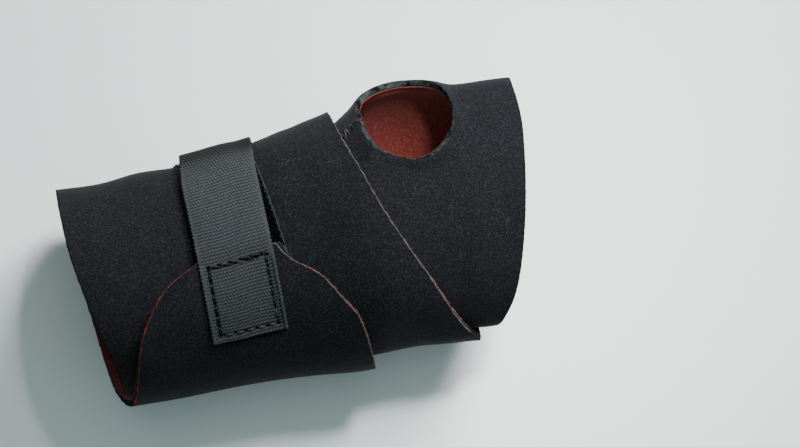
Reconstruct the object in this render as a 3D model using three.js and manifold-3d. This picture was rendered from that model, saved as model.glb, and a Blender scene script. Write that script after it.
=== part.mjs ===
// Wrap-around neoprene wrist splint for a left hand, closed as it is worn, lying on its dorsal side.
// +X runs from the forearm to the fingers, +Y to the thumb side, +Z to the palm side. Millimetres.
// One strip of padded cloth is wound in a spiral: a hand cuff with a thumb hole, a wrist wrap over it, and
// a closing flap that folds over the ulnar edge. A hook-and-loop strap is sewn to the flap and closes
// round the thumb side. A flat stay lies in a pocket on the back of the cuff.
import * as THREE from "three";
import { mergeVertices } from "three/addons/utils/BufferGeometryUtils.js";
import Module from "manifold-3d";

const wasm = await Module();
wasm.setup();

// ---- Driving dimensions -------------------------------------------------------------------------
const CLOTH = 3.0; // neoprene with its face and its lining
const LINING = 0.5;
const GAP = 0.3; // between neighbouring layers
const PITCH = CLOTH + GAP; // from one turn of cloth to the next
const STAY = { length: 112, width: 19, thick: 1.5, tip: 7, corner: 5, start: -76 };
const POCKET = { sheet: 0.6, cavity: 21, hem: 4.2, clear: 0.3, mouth: -71 };
const POCKET_DEPTH = GAP + STAY.thick + 2 * POCKET.clear + POCKET.sheet; // how far it stands off the cuff
const DORSAL = 2 * CLOTH + 2 * GAP + POCKET_DEPTH; // height of the cuff's inner face over the table
const FLAT = 16; // half of the flat width on the back
const UNDER = 0.45; // share of the limb's height under its widest line
const STEP = 10; // degrees of the section between two bends of a facet
const STRAP = { width: 27.7, thick: 1.2, lean: 0.03, middle: -20.7 };
const HOOK = { width: 24, thick: 0.7 };
const LOOP = { width: 27, thick: 0.7 };
const THREAD = 0.5;
const HOLE = { x: 52.2, radius: 17.7, tilt: 30, lift: -7.5, inside: 14 }; // lift is across its own axis
const MIDDLE = new THREE.Vector3(7.1, -1.2, 0); // the bounding box's middle before it is moved to the origin

// The limb's outline inside the cuff: [x, thumb-side edge, ulnar edge, height].
const OUTLINE = [
  [-80, 30.8, -33.0, 47],
  [-60, 29.2, -34.6, 44.5],
  [-32, 30.4, -36.9, 41.5],
  [-5, 32.9, -38.0, 40.5],
  [12, 34.4, -38.6, 41],
  [24, 35.4, -39.0, 41.5],
  [32, 39.8, -39.4, 41.5],
  [39, 44.0, -39.9, 41],
  [50, 46.0, -41.0, 39.5],
  [62, 44.0, -41.8, 37],
  [74, 40.8, -42.0, 34],
  [95, 38.6, -42.0, 30.5],
];

// A smooth curve through the rows of a table, read at a value of its first column.
function read(table, value, column = 1) {
  const last = table.length - 1;
  const v = THREE.MathUtils.clamp(value, table[0][0], table[last][0]);
  let k = 0;
  while (k < last - 1 && v > table[k + 1][0]) k += 1;
  const slope = (i) => {
    const [a, b] = [table[Math.max(i - 1, 0)], table[Math.min(i + 1, last)]];
    return (b[column] - a[column]) / (b[0] - a[0]);
  };
  const [a, b] = [table[k], table[k + 1]];
  const step = b[0] - a[0];
  const t = (v - a[0]) / step;
  const [rise, fall] = [slope(k) * step, slope(k + 1) * step];
  const h = t * t * (3 - 2 * t);
  return a[column] * (1 - h) + b[column] * h + rise * t * (1 - t) ** 2 - fall * t * t * (1 - t);
}

const ease = THREE.MathUtils.smoothstep;

// The section's middle and half sizes at x.
function section(x) {
  const [thumb, ulnar, height] = [1, 2, 3].map((c) => read(OUTLINE, x, c));
  return {
    half: (thumb - ulnar) / 2,
    y: (thumb + ulnar) / 2,
    z: DORSAL + UNDER * height,
    above: (1 - UNDER) * height,
    below: UNDER * height,
  };
}

// A point over the limb. The angle is 0 at the thumb side, 90 on the palm, 180 at the ulnar edge and 270
// on the back, where the section is flat. Off is the distance outwards from the cuff's inner face.
function place(x, angle, off) {
  const s = section(x);
  const turn = THREE.MathUtils.euclideanModulo(angle, 360);
  const corner = s.half - FLAT;
  const quarter = (turn - 180) / 60;
  let y, z, ny, nz;
  if (turn <= 180) {
    const r = THREE.MathUtils.degToRad(turn);
    const [c, n] = [Math.cos(r), Math.sin(r)];
    [y, z, ny, nz] = [s.half * c, s.above * n, s.above * c, s.half * n];
  } else if (quarter < 1) {
    const r = (quarter * Math.PI) / 2;
    const [c, n] = [Math.cos(r), Math.sin(r)];
    [y, z, ny, nz] = [-FLAT - corner * c, -s.below * n, -s.below * c, -corner * n];
  } else if (quarter < 2) {
    [y, z, ny, nz] = [FLAT * (2 * quarter - 3), -s.below, 0, -1];
  } else {
    const r = ((quarter - 2) * Math.PI) / 2;
    const [c, n] = [Math.cos(r), Math.sin(r)];
    [y, z, ny, nz] = [FLAT + corner * n, -s.below * c, s.below * n, -corner * c];
  }
  const size = Math.hypot(ny, nz);
  return new THREE.Vector3(x, s.y + y + (ny / size) * off, s.z + z + (nz / size) * off);
}

// The angle on the palm at which a surface at that distance is seen at y from above.
function palmAngle(x, y, off) {
  let [low, high] = [0, 180];
  for (let i = 0; i < 30; i += 1) {
    const middle = (low + high) / 2;
    if (place(x, middle, off).y > y) low = middle;
    else high = middle;
  }
  return (low + high) / 2;
}

// A table of [angle, x] from an edge's outline seen from above, given as [x, y].
function edgeOnPalm(points, off) {
  return points.map(([x, y]) => [palmAngle(x, y, off), x]).sort((a, b) => a[0] - b[0]);
}

// ---- Solids -------------------------------------------------------------------------------------
// The angles between two ends: every sheet bends at the same multiples of STEP, so facets stay parallel.
function bends(from, to) {
  const inner = [];
  for (let a = Math.ceil((from + 1) / STEP) * STEP; a < to - 1; a += STEP) inner.push(a);
  return [from, ...inner, to];
}

// A closed sheet over the limb, from one angle to another, between a proximal and a distal edge. Each of
// prox, dist, off and thick is a number or a function of the angle (off also of x).
function sheetGeometry({ from, to, rows, prox, dist, off, thick }) {
  const value = (f, ...args) => (typeof f === "function" ? f(...args) : f);
  const shares = Array.isArray(rows) ? rows : Array.from({ length: rows + 1 }, (_, j) => j / rows);
  const whole = to - from === 360;
  const angles = whole ? bends(from, to).slice(0, -1) : bends(from, to);
  const [n, m] = [angles.length, shares.length];
  const points = [];
  for (const outer of [0, 1]) {
    for (const angle of angles) {
      const [start, end] = [value(prox, angle), value(dist, angle)];
      for (const share of shares) {
        const x = start + (end - start) * share;
        points.push(...place(x, angle, value(off, angle, x) + outer * value(thick, angle, x)));
      }
    }
  }
  const at = (outer, i, j) => outer * n * m + (i % n) * m + j;
  const faces = [];
  const quad = (a, b, c, d) => faces.push(a, b, c, a, c, d);
  const spans = whole ? n : n - 1;
  for (let i = 0; i < spans; i += 1) {
    for (let j = 0; j < m - 1; j += 1) {
      quad(at(1, i, j), at(1, i + 1, j), at(1, i + 1, j + 1), at(1, i, j + 1));
      quad(at(0, i, j), at(0, i, j + 1), at(0, i + 1, j + 1), at(0, i + 1, j));
    }
    quad(at(0, i, 0), at(0, i + 1, 0), at(1, i + 1, 0), at(1, i, 0));
    quad(at(0, i, m - 1), at(1, i, m - 1), at(1, i + 1, m - 1), at(0, i + 1, m - 1));
  }
  for (let j = 0; !whole && j < m - 1; j += 1) {
    quad(at(0, 0, j), at(1, 0, j), at(1, 0, j + 1), at(0, 0, j + 1));
    quad(at(0, n - 1, j), at(0, n - 1, j + 1), at(1, n - 1, j + 1), at(1, n - 1, j));
  }
  const geometry = new THREE.BufferGeometry();
  geometry.setAttribute("position", new THREE.Float32BufferAttribute(points, 3));
  return geometry.setIndex(faces);
}

function solid(geometry) {
  const bare = geometry.clone();
  bare.deleteAttribute("normal");
  bare.deleteAttribute("uv");
  const merged = mergeVertices(bare, 1e-3);
  return new wasm.Manifold(
    new wasm.Mesh({
      numProp: 3,
      vertProperties: merged.attributes.position.array,
      triVerts: new Uint32Array(merged.index.array),
    }),
  );
}

function geometryOf(made) {
  const mesh = made.getMesh();
  return new THREE.BufferGeometry()
    .setAttribute("position", new THREE.BufferAttribute(mesh.vertProperties, 3))
    .setIndex(new THREE.BufferAttribute(mesh.triVerts, 1));
}

// A flat outline in (y, z), drawn out along +X from x.
function alongX(outline, x, length) {
  const shape = new THREE.Shape(outline.map(([y, z]) => new THREE.Vector2(y, z)));
  const geometry = new THREE.ExtrudeGeometry(shape, { depth: length, bevelEnabled: false });
  return geometry.applyMatrix4(
    new THREE.Matrix4().set(0, 0, 1, x, 1, 0, 0, 0, 0, 1, 0, 0, 0, 0, 0, 1),
  );
}

// ---- Materials ----------------------------------------------------------------------------------
const material = (color, roughness, metalness = 0) =>
  new THREE.MeshStandardMaterial({ color, roughness, metalness });
const neoprene = material(0x17171a, 0.9);
const lining = material(0x5f2622, 0.95);
const webbing = material(0x4b5454, 0.7);
const hook = material(0x121414, 0.8);
const loop = material(0x1a1c1c, 1.0);
const thread = material(0x101010, 0.6);
const pocketCloth = material(0x222225, 0.85);
const aluminium = material(0xa8abae, 0.35, 1);
const vinyl = material(0x2b2b2e, 0.5);

const group = new THREE.Group();
function add(name, geometry, look) {
  const mesh = new THREE.Mesh(geometry, look);
  mesh.name = name;
  group.add(mesh);
  return mesh;
}

// A turn of cloth is two nodes: the foam with its black face outside, and the lining inside.
function addCloth(name, spec, cut = (made) => made) {
  const inside = (angle, x) => (typeof spec.off === "function" ? spec.off(angle, x) : spec.off);
  const foam = { ...spec, off: (a, x) => inside(a, x) + LINING + GAP, thick: CLOTH - LINING - GAP };
  add(name, geometryOf(cut(solid(sheetGeometry(foam)))), neoprene);
  add(`${name}_lining`, geometryOf(cut(solid(sheetGeometry({ ...spec, thick: LINING })))), lining);
}

// ---- Hand cuff, with the thumb hole -------------------------------------------------------------
const CUFF_START = -66;
const CUFF_PALM_EDGE = [
  [93.0, 40],
  [92.6, 27],
  [90.6, 14.5],
  [86.8, -3.3],
  [82.0, -20.8],
  [78.5, -31.2],
  [75.0, -38.5],
  [70.8, -43.5],
];
const CUFF_DORSAL_EDGE = [
  [215, 71],
  [250, 79],
  [300, 88],
  [340, 92.6],
];
const onPalm = edgeOnPalm(CUFF_PALM_EDGE, CLOTH).filter(([angle]) => angle > 8 && angle < 172);
const cuffEdge = [[0, 93.2], ...onPalm, [180, 68.5], ...CUFF_DORSAL_EDGE, [360, 93.2]];
const CUFF_ROWS = [0, 0.07, 0.14, 0.28, 0.41, 0.51, 0.57, 0.595, 0.62, 0.66, 0.71, 0.77, 0.83, 0.89, 0.95, 1];

function thumbHole(made) {
  const s = section(HOLE.x);
  const tilt = THREE.MathUtils.degToRad(HOLE.tilt);
  const length = 60;
  const reach = HOLE.inside + length / 2; // the cutter starts inside the hand's space
  const cutter = new THREE.CylinderGeometry(HOLE.radius, HOLE.radius, length, 40);
  const axis = new THREE.Vector3(0, Math.cos(tilt), Math.sin(tilt));
  cutter.applyQuaternion(new THREE.Quaternion().setFromUnitVectors(new THREE.Vector3(0, 1, 0), axis));
  cutter.translate(
    HOLE.x,
    s.y - Math.sin(tilt) * HOLE.lift + axis.y * reach,
    s.z + Math.cos(tilt) * HOLE.lift + axis.z * reach,
  );
  return made.subtract(solid(cutter));
}

addCloth(
  "hand_cuff",
  { from: 0, to: 360, rows: CUFF_ROWS, prox: CUFF_START, dist: (a) => read(cuffEdge, a), off: 0 },
  thumbHole,
);

// ---- Wrist wrap: one and a bit turns over the cuff ----------------------------------------------
// It starts under itself behind the ulnar edge (215), crosses the palm to the thumb side (0), and goes
// round the back to the ulnar edge again (-180), where the flap folds.
const WRAP_START = 215;
const FOLD_GAP = 4; // degrees left open on each side of the fold's line
const WRAP_PROX = [
  [-180, -69.4],
  [-155, -73.2],
  [-90, -76],
  [0, -78],
  [40, -78.9],
  [66, -78.7],
  [90, -77],
  [111, -74.9],
  [133, -72],
  [180, -70],
  [215, -70],
];
const DIAGONAL = [
  [25.8, 42],
  [27.6, 31.5],
  [31.3, 18.5],
  [36.0, 3.6],
  [41.5, -10],
  [48.2, -25.5],
  [54.0, -39.5],
];
const diagonal = edgeOnPalm(DIAGONAL, PITCH + CLOTH).filter(([angle]) => angle > 8);
const WRAP_DIST = [[-180, 21.4], [-90, 23], [0, 25], ...diagonal, [180, 60.2], [215, 63]];

// Distance of the wrap's inner face from the cuff's inner face: one turn out on the palm, and two turns out
// where it goes over the pocket on the back and over its own start at the ulnar edge.
const wrapOff = (angle) => PITCH * (2 - ease(angle, -58, -8));
const wrapFace = (angle) => wrapOff(angle) + CLOTH;

addCloth("wrist_wrap", {
  from: FOLD_GAP - 180,
  to: WRAP_START,
  rows: 10,
  prox: (a) => read(WRAP_PROX, a),
  dist: (a) => read(WRAP_DIST, a),
  off: wrapOff,
});

// ---- Closing flap -------------------------------------------------------------------------------
const FLAP_TIP = 1.6; // y of the flap's cut end
const FLAP_PROX = [
  [-37.5, FLAP_TIP - 1],
  [-45.8, -3.5],
  [-52.4, -9.8],
  [-60.0, -20.6],
  [-63.8, -31.5],
];
const FLAP_DIST = [
  [-5.0, FLAP_TIP],
  [-1.5, -4.4],
  [7.8, -12.4],
  [13.4, -21.4],
  [18.8, -31.2],
];
const flapFace = 2 * PITCH + CLOTH;
const flapEnd = palmAngle(STRAP.middle, FLAP_TIP, flapFace);
const flapProx = [[flapEnd - 1, -36], ...edgeOnPalm(FLAP_PROX, flapFace).slice(1), [180, -69.4]];
const flapDist = [[flapEnd - 1, -6], ...edgeOnPalm(FLAP_DIST, flapFace).slice(1), [180, 21.4]];
const STAND_OFF = 2.6; // how far the flap's distal corner stands off the wrap
const flapOff = (angle, x) => 2 * PITCH + STAND_OFF * ease(x, -20, 20) * ease(angle, 120, 172);

addCloth("closing_flap", {
  from: flapEnd,
  to: 180 - FOLD_GAP,
  rows: 10,
  prox: (a) => read(flapProx, a),
  dist: (a) => read(flapDist, a),
  off: flapOff,
});

// ---- Strap --------------------------------------------------------------------------------------
// The strap's middle line leans a little to the fingers towards the thumb side.
const strapMiddle = (angle) => STRAP.middle + STRAP.lean * place(STRAP.middle, angle, flapFace).y;
const ROOT_END = -28.8; // y of the sewn end
const PEEL = 0.2; // y of the line that the strap peels about
const peelAngle = palmAngle(STRAP.middle, PEEL, flapFace);
const rootAngle = palmAngle(STRAP.middle, ROOT_END, flapFace);
const SHOULDER = 36; // angle of the bend between the span and the tail
const TAIL_END = -35;
const BEND = 1.6; // half of the angle left open at a bend
const ARC = 0.7; // millimetres of strap to a degree, near the flap's tip
const strapOnPatch = LOOP.thick + HOOK.thick + 3 * GAP;
// Distance of the strap's inner face: on the flap at its root, then down to the patches on the wrap.
function strapOff(angle) {
  const onWrap = wrapFace(angle) + strapOnPatch;
  return onWrap + (flapFace + GAP - onWrap) * ease(angle, flapEnd - 20, flapEnd - 3);
}
// The edges of a band of some width along the strap's middle line.
const alongStrap = (width) => ({
  prox: (a) => strapMiddle(a) - width / 2,
  dist: (a) => strapMiddle(a) + width / 2,
});
const strap = { ...alongStrap(STRAP.width), thick: STRAP.thick };
const onFlap = (a, x) => flapOff(a, x) + CLOTH + GAP;
const root = { from: peelAngle + BEND / 2, to: rootAngle, rows: 4, off: onFlap };
const span = { from: SHOULDER + BEND, to: peelAngle - BEND / 2, rows: 2, off: strapOff };
const tail = { from: TAIL_END, to: SHOULDER - BEND, rows: 2, off: strapOff };
add("strap_root", sheetGeometry({ ...strap, ...root }), webbing);
add("strap_span", sheetGeometry({ ...strap, ...span }), webbing);
add("strap_tail", sheetGeometry({ ...strap, ...tail }), webbing);

// The hook pad is under the tail, and the loop patch that it grips is sewn to the wrap, a little askew.
const pad = {
  ...alongStrap(HOOK.width),
  from: TAIL_END + 2,
  to: SHOULDER - 5,
  rows: 2,
  off: (a) => wrapFace(a) + LOOP.thick + 2 * GAP,
  thick: HOOK.thick,
};
add("hook_pad", sheetGeometry(pad), hook);
const PATCH = { from: -50, to: flapEnd - 1.5, ahead: 4.9, lean: 0.06 };
const patchMiddle = (angle) => STRAP.middle + PATCH.ahead - PATCH.lean * (PATCH.to - angle);
const patch = {
  from: PATCH.from,
  to: PATCH.to,
  rows: 2,
  prox: (a) => patchMiddle(a) - LOOP.width / 2,
  dist: (a) => patchMiddle(a) + LOOP.width / 2,
  off: (a) => wrapFace(a) + GAP,
  thick: LOOP.thick,
};
add("loop_patch", sheetGeometry(patch), loop);

// ---- Stitching ----------------------------------------------------------------------------------
// A frame of thread of a given width, laid on a sheet's outline.
function frameOfThread(spec, width) {
  const lay = { ...spec, thick: THREAD };
  const angleWidth = width / ARC;
  const hole = {
    ...lay,
    from: spec.from + angleWidth,
    to: spec.to - angleWidth,
    prox: (a) => spec.prox(a) + width,
    dist: (a) => spec.dist(a) - width,
    off: (a, x) => spec.off(a, x) - 1,
    thick: THREAD + 2,
  };
  return geometryOf(solid(sheetGeometry(lay)).subtract(solid(sheetGeometry(hole))));
}
const SEAM_IN = 1.8; // from the strap's edge to its stitching
const box = {
  ...alongStrap(STRAP.width - 2 * SEAM_IN),
  from: peelAngle + SEAM_IN / ARC,
  to: rootAngle - SEAM_IN / ARC,
  rows: 4,
  off: (a, x) => onFlap(a, x) + STRAP.thick + GAP,
};
add("strap_box_stitching", frameOfThread(box, 0.8), thread);

// The seam that joins the wrap's start to the cuff, on the back near the ulnar edge, distal of the flap.
const seam = { from: 206, to: 209, rows: 6, prox: 24, dist: 60, thick: THREAD };
add("wrap_seam_stitching", sheetGeometry({ ...seam, off: PITCH + CLOTH + GAP }), thread);

// The flat seam that joins the cuff's ends, from the thumb hole back under the wrap.
const flatSeam = { from: 31, to: 38, rows: 4, prox: 28, dist: 34.2, thick: THREAD };
add("thumb_seam_stitching", sheetGeometry({ ...flatSeam, off: CLOTH + GAP }), thread);

// ---- Stay and its pocket ------------------------------------------------------------------------
const STAY_Y = -2.4; // the pocket's middle line
const cuffBack = DORSAL - CLOTH; // height of the cuff's outer face on the back
const stayTop = cuffBack - GAP - POCKET.clear;
const pocketEnd = STAY.start + STAY.length + 3;

// A flat bar along X whose ends can be rounded by a corner radius.
function roundedBar(start, length, cornerStart, cornerEnd) {
  const half = STAY.width / 2;
  const end = start + length;
  const corner = (x, y, radius, quarter) => {
    const steps = radius > 0 ? 5 : 0;
    return Array.from({ length: steps + 1 }, (_, i) => {
      const turn = ((quarter + i / Math.max(steps, 1)) * Math.PI) / 2;
      return new THREE.Vector2(x + radius * Math.cos(turn), y + radius * Math.sin(turn));
    });
  };
  const shape = new THREE.Shape([
    ...corner(end - cornerEnd, half - cornerEnd, cornerEnd, 0),
    ...corner(start + cornerStart, half - cornerStart, cornerStart, 1),
    ...corner(start + cornerStart, cornerStart - half, cornerStart, 2),
    ...corner(end - cornerEnd, cornerEnd - half, cornerEnd, 3),
  ]);
  const bar = new THREE.ExtrudeGeometry(shape, { depth: STAY.thick, bevelEnabled: false });
  return bar.translate(0, STAY_Y, stayTop - STAY.thick);
}
const blade = STAY.length - 2 * STAY.tip;
const bladeEnd = STAY.start + STAY.tip + blade;
add("stay_blade", roundedBar(STAY.start + STAY.tip, blade, 0, 0), aluminium);
add("stay_tip_proximal", roundedBar(STAY.start, STAY.tip - GAP, STAY.corner, 0), vinyl);
add("stay_tip_distal", roundedBar(bladeEnd + GAP, STAY.tip - GAP, 0, STAY.corner), vinyl);

// A bar of rectangular section along X, about the pocket's middle line or a line beside it.
function bar({ side = 0, half, top, thick, start, length }) {
  const outline = [
    [STAY_Y + side - half, top],
    [STAY_Y + side - half, top - thick],
    [STAY_Y + side + half, top - thick],
    [STAY_Y + side + half, top],
  ];
  return solid(alongX(outline, start, length));
}

// The pocket is one sheet over the stay, sewn down along both sides and across its distal end.
const pocketTop = cuffBack - GAP;
const pocketHalf = POCKET.cavity / 2;
const pocketDepth = POCKET_DEPTH - GAP;
const hemHalf = pocketHalf + POCKET.hem;
const run = { start: POCKET.mouth, length: pocketEnd - POCKET.mouth };
const hemmed = { start: POCKET.mouth, length: run.length + POCKET.sheet + POCKET.hem };
const lid = { start: POCKET.mouth, length: run.length + POCKET.sheet };
const pocket = bar({ ...hemmed, half: hemHalf, top: pocketTop, thick: POCKET.sheet })
  .add(bar({ ...lid, half: pocketHalf + POCKET.sheet, top: pocketTop, thick: pocketDepth }))
  .subtract(
    bar({
      start: POCKET.mouth - 1,
      length: run.length + 1,
      half: pocketHalf,
      top: pocketTop + 1,
      thick: pocketDepth - POCKET.sheet + 1,
    }),
  );
add("stay_pocket", geometryOf(pocket), pocketCloth);

// A U of thread along both side hems and across the distal hem.
const seamIn = POCKET.hem * 0.6;
const line = { top: pocketTop - POCKET.sheet - GAP, thick: THREAD };
const sideLine = { ...line, half: THREAD, start: POCKET.mouth + 2, length: hemmed.length - 2 - seamIn / 2 };
const acrossEnd = sideLine.start + sideLine.length;
const pocketSeam = bar({ ...sideLine, side: pocketHalf + seamIn })
  .add(bar({ ...sideLine, side: -pocketHalf - seamIn }))
  .add(bar({ ...line, half: pocketHalf + seamIn, start: acrossEnd - 2 * THREAD, length: 2 * THREAD }));
add("pocket_stitching", geometryOf(pocketSeam), thread);

group.position.copy(MIDDLE).negate();

export default group;
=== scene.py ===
"""The looks of the wrist splint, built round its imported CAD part.

The cloth is made from the same spiral as the part. A point on it is (angle, x, distance): the angle runs
round the limb (0 thumb side, 90 palm, 180 ulnar edge, 270 back), x runs to the fingers, and the distance is
outwards from the cuff's inner face. Lengths are millimetres here, and metres once a mesh is made.
"""

import copy
import math

import bpy
import numpy as np
from mathutils import Matrix, Vector


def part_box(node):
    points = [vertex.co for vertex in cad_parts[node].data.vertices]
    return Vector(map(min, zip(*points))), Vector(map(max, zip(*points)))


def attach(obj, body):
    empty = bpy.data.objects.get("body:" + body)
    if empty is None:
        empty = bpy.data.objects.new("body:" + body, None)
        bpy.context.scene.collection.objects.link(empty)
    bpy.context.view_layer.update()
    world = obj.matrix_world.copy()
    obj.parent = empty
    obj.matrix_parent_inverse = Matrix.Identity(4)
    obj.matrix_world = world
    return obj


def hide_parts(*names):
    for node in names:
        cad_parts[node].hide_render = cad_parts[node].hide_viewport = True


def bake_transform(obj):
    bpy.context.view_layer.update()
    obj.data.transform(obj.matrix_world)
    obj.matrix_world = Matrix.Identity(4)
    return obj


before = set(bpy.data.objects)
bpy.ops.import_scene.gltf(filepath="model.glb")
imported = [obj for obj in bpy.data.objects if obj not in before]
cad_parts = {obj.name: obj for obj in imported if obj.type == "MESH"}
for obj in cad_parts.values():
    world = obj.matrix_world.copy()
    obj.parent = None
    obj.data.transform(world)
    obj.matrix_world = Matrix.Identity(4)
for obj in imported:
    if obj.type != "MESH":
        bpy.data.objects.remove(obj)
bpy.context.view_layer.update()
MM = 0.001
RNG = np.random.default_rng(11)

# ---- The part's own dimensions ----
CLOTH, LINING, GAP = 3.0, 0.5, 0.3
PITCH = CLOTH + GAP
STAY_THICK, POCKET_SHEET = 1.5, 0.6
DORSAL = 2 * CLOTH + 2 * GAP + GAP + STAY_THICK + 2 * GAP + POCKET_SHEET  # height of the cuff's inner face
FLAT, UNDER = 16.0, 0.45  # half the back's flat width, and the share of the height below the widest point
STRAP_WIDTH, STRAP_THICK, STRAP_LEAN, STRAP_MIDDLE = 27.7, 1.2, 0.03, -20.7
HOOK_WIDTH, LOOP_WIDTH, TAPE = 24.0, 27.0, 0.7
HOLE_X, HOLE_TILT, HOLE_LIFT = 52.2, 30.0, -7.5
MIDDLE = np.array([7.1, -1.2, 0.0])  # the row's origin in these coordinates
OUTLINE = [  # x, then the limb's thumb side and ulnar side in y, and its height
    (-80, 30.8, -33.0, 47),
    (-60, 29.2, -34.6, 44.5),
    (-32, 30.4, -36.9, 41.5),
    (-5, 32.9, -38.0, 40.5),
    (12, 34.4, -38.6, 41),
    (24, 35.4, -39.0, 41.5),
    (32, 39.8, -39.4, 41.5),
    (39, 44.0, -39.9, 41),
    (50, 46.0, -41.0, 39.5),
    (62, 44.0, -41.8, 37),
    (74, 40.8, -42.0, 34),
    (95, 38.6, -42.0, 30.5),
]


def read(table, value, column=1):
    """A smooth curve through a table's rows, read at values of its first column."""
    rows = np.asarray(table, float)
    keys, given = rows[:, 0], rows[:, column]
    after = np.append(np.arange(1, len(keys)), len(keys) - 1)
    before = np.insert(np.arange(len(keys) - 1), 0, 0)
    slope = (given[after] - given[before]) / (keys[after] - keys[before])
    v = np.clip(value, keys[0], keys[-1])
    k = np.clip(np.searchsorted(keys, v) - 1, 0, len(keys) - 2)
    step = keys[k + 1] - keys[k]
    t = (v - keys[k]) / step
    h = t * t * (3 - 2 * t)
    bend = slope[k] * step * t * (1 - t) ** 2 - slope[k + 1] * step * t * t * (1 - t)
    return given[k] * (1 - h) + given[k + 1] * h + bend


def ease(value, low, high):
    t = np.clip((np.asarray(value, float) - low) / (high - low), 0, 1)
    return t * t * (3 - 2 * t)


def hump(value, centre, spread):
    """A bell curve, 1 at its centre."""
    return np.exp(-(((value - centre) / spread) ** 2))


def section(x):
    """Half the width, the middle's y and the height of the limb."""
    thumb, ulnar, height = (read(OUTLINE, x, c) for c in (1, 2, 3))
    return (thumb - ulnar) / 2, (thumb + ulnar) / 2, height


def place(x, angle, off):
    """Points over the limb in the row frame, in metres. The arguments are numbers or arrays of one shape."""
    x, angle, off = np.broadcast_arrays(*(np.asarray(v, float) for v in (x, angle, off)))
    half, middle, height = section(x)
    above, below = (1 - UNDER) * height, UNDER * height
    turn = np.mod(angle, 360)
    corner = half - FLAT
    quarter = (turn - 180) / 60
    r = np.where(turn <= 180, np.radians(turn), np.where(quarter < 1, quarter, quarter - 2) * np.pi / 2)
    c, s = np.cos(r), np.sin(r)
    zones = [turn <= 180, quarter < 1, quarter < 2]
    flat = np.zeros_like(x)
    y = np.select(zones, [half * c, -FLAT - corner * c, FLAT * (2 * quarter - 3)], FLAT + corner * s)
    z = np.select(zones, [above * s, -below * s, -below], -below * c)
    ny = np.select(zones, [above * c, -below * c, flat], below * s)
    nz = np.select(zones, [half * s, -corner * s, flat - 1], -corner * c)
    size = np.hypot(ny, nz)
    points = np.stack([x, middle + y + ny / size * off, DORSAL + UNDER * height + z + nz / size * off], -1)
    return (points - MIDDLE) * MM


def palm_angle(x, y, off):
    """The angle at which a layer over the palm has this y."""
    low, high = 0.0, 180.0
    for _ in range(30):
        middle = (low + high) / 2
        if place(x, middle, off)[1] / MM + MIDDLE[1] > y:
            low = middle
        else:
            high = middle
    return (low + high) / 2


def edge_on_palm(points, off):
    """An outline's (x, y) points over the palm, as (angle, x)."""
    return sorted((palm_angle(x, y, off), x) for x, y in points)


ARC_STEPS = np.arange(-180, 361, 2.0)
ARC_POINTS = place(0.0, ARC_STEPS, 5.0)[:, 1:] / MM
ARC_LENGTHS = np.concatenate([[0], np.cumsum(np.linalg.norm(np.diff(ARC_POINTS, axis=0), axis=1))])


def arc(angle):
    """Millimetres round the limb to an angle."""
    return np.interp(angle, ARC_STEPS, ARC_LENGTHS)


def angle_at(length):
    return np.interp(length, ARC_LENGTHS, ARC_STEPS)


# ---- Edges and layers, as in the part ----
CUFF_START = -66.0
CUFF_PALM_EDGE = [
    (93.8, 40), (93.6, 27), (91.7, 14.5), (87.9, -3.3),
    (83.0, -20.8), (79.3, -31.2), (75.6, -38.5), (71.2, -43.5),
]
on_palm = [p for p in edge_on_palm(CUFF_PALM_EDGE, CLOTH) if 8 < p[0] < 172]
CUFF_EDGE = [(0, 94.0), *on_palm, (180, 68.8), (215, 71), (250, 79), (300, 88), (340, 93.4), (360, 94.0)]

WRAP_START = 215.0
SPLIT = 212.0  # angle on the back where the wrap's piece meets the flap's
WRAP_PROX = [
    (-180, -69.4), (-155, -73.2), (-90, -76), (0, -78), (40, -78.9), (66, -78.7), (90, -77), (111, -74.9),
    (133, -72), (180, -70), (215, -70),
]
DIAGONAL = [(25.8, 42), (27.6, 31.5), (31.3, 18.5), (36.0, 3.6), (41.5, -10), (48.2, -25.5), (54.0, -39.5)]
diagonal = [p for p in edge_on_palm(DIAGONAL, PITCH + CLOTH) if p[0] > 8]
WRAP_DIST = [(-180, 21.4), (-90, 23), (0, 25), *diagonal, (180, 61.6), (215, 63)]

FLAP_FACE = 2 * PITCH + CLOTH
FLAP_TIP = 1.6
FLAP_END = palm_angle(STRAP_MIDDLE, FLAP_TIP, FLAP_FACE)
FLAP_PROX = [(-40.0, -1.3), (-45.8, -4.0), (-52.4, -9.8), (-60.0, -20.6), (-63.8, -31.5)]
FLAP_DIST = [(-1.5, -4.4), (7.8, -12.4), (13.4, -21.4), (18.8, -31.2)]
WRAP_AT_SPLIT = [float(read(t, SPLIT - 360)) for t in (WRAP_PROX, WRAP_DIST)]
flap_prox = [(FLAP_END - 1, -33.4), *edge_on_palm(FLAP_PROX, FLAP_FACE), (180, -69.4), (203, -73.0)]
flap_prox.append((SPLIT, WRAP_AT_SPLIT[0]))
flap_dist = [(FLAP_END - 1, -6), *edge_on_palm(FLAP_DIST, FLAP_FACE), (180, 21.4), (SPLIT, WRAP_AT_SPLIT[1])]

SHOULDER, TAIL_END = 36.0, -35.0
ROOT_END, PEEL = -28.8, 0.2
PEEL_ANGLE = palm_angle(STRAP_MIDDLE, PEEL, FLAP_FACE)
ROOT_ANGLE = palm_angle(STRAP_MIDDLE, ROOT_END, FLAP_FACE)
STITCH_IN = {"side": 3.2, "end": 2.6, "top": 1.6}  # box stitch to the strap's sides, its end, the peel line


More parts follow.
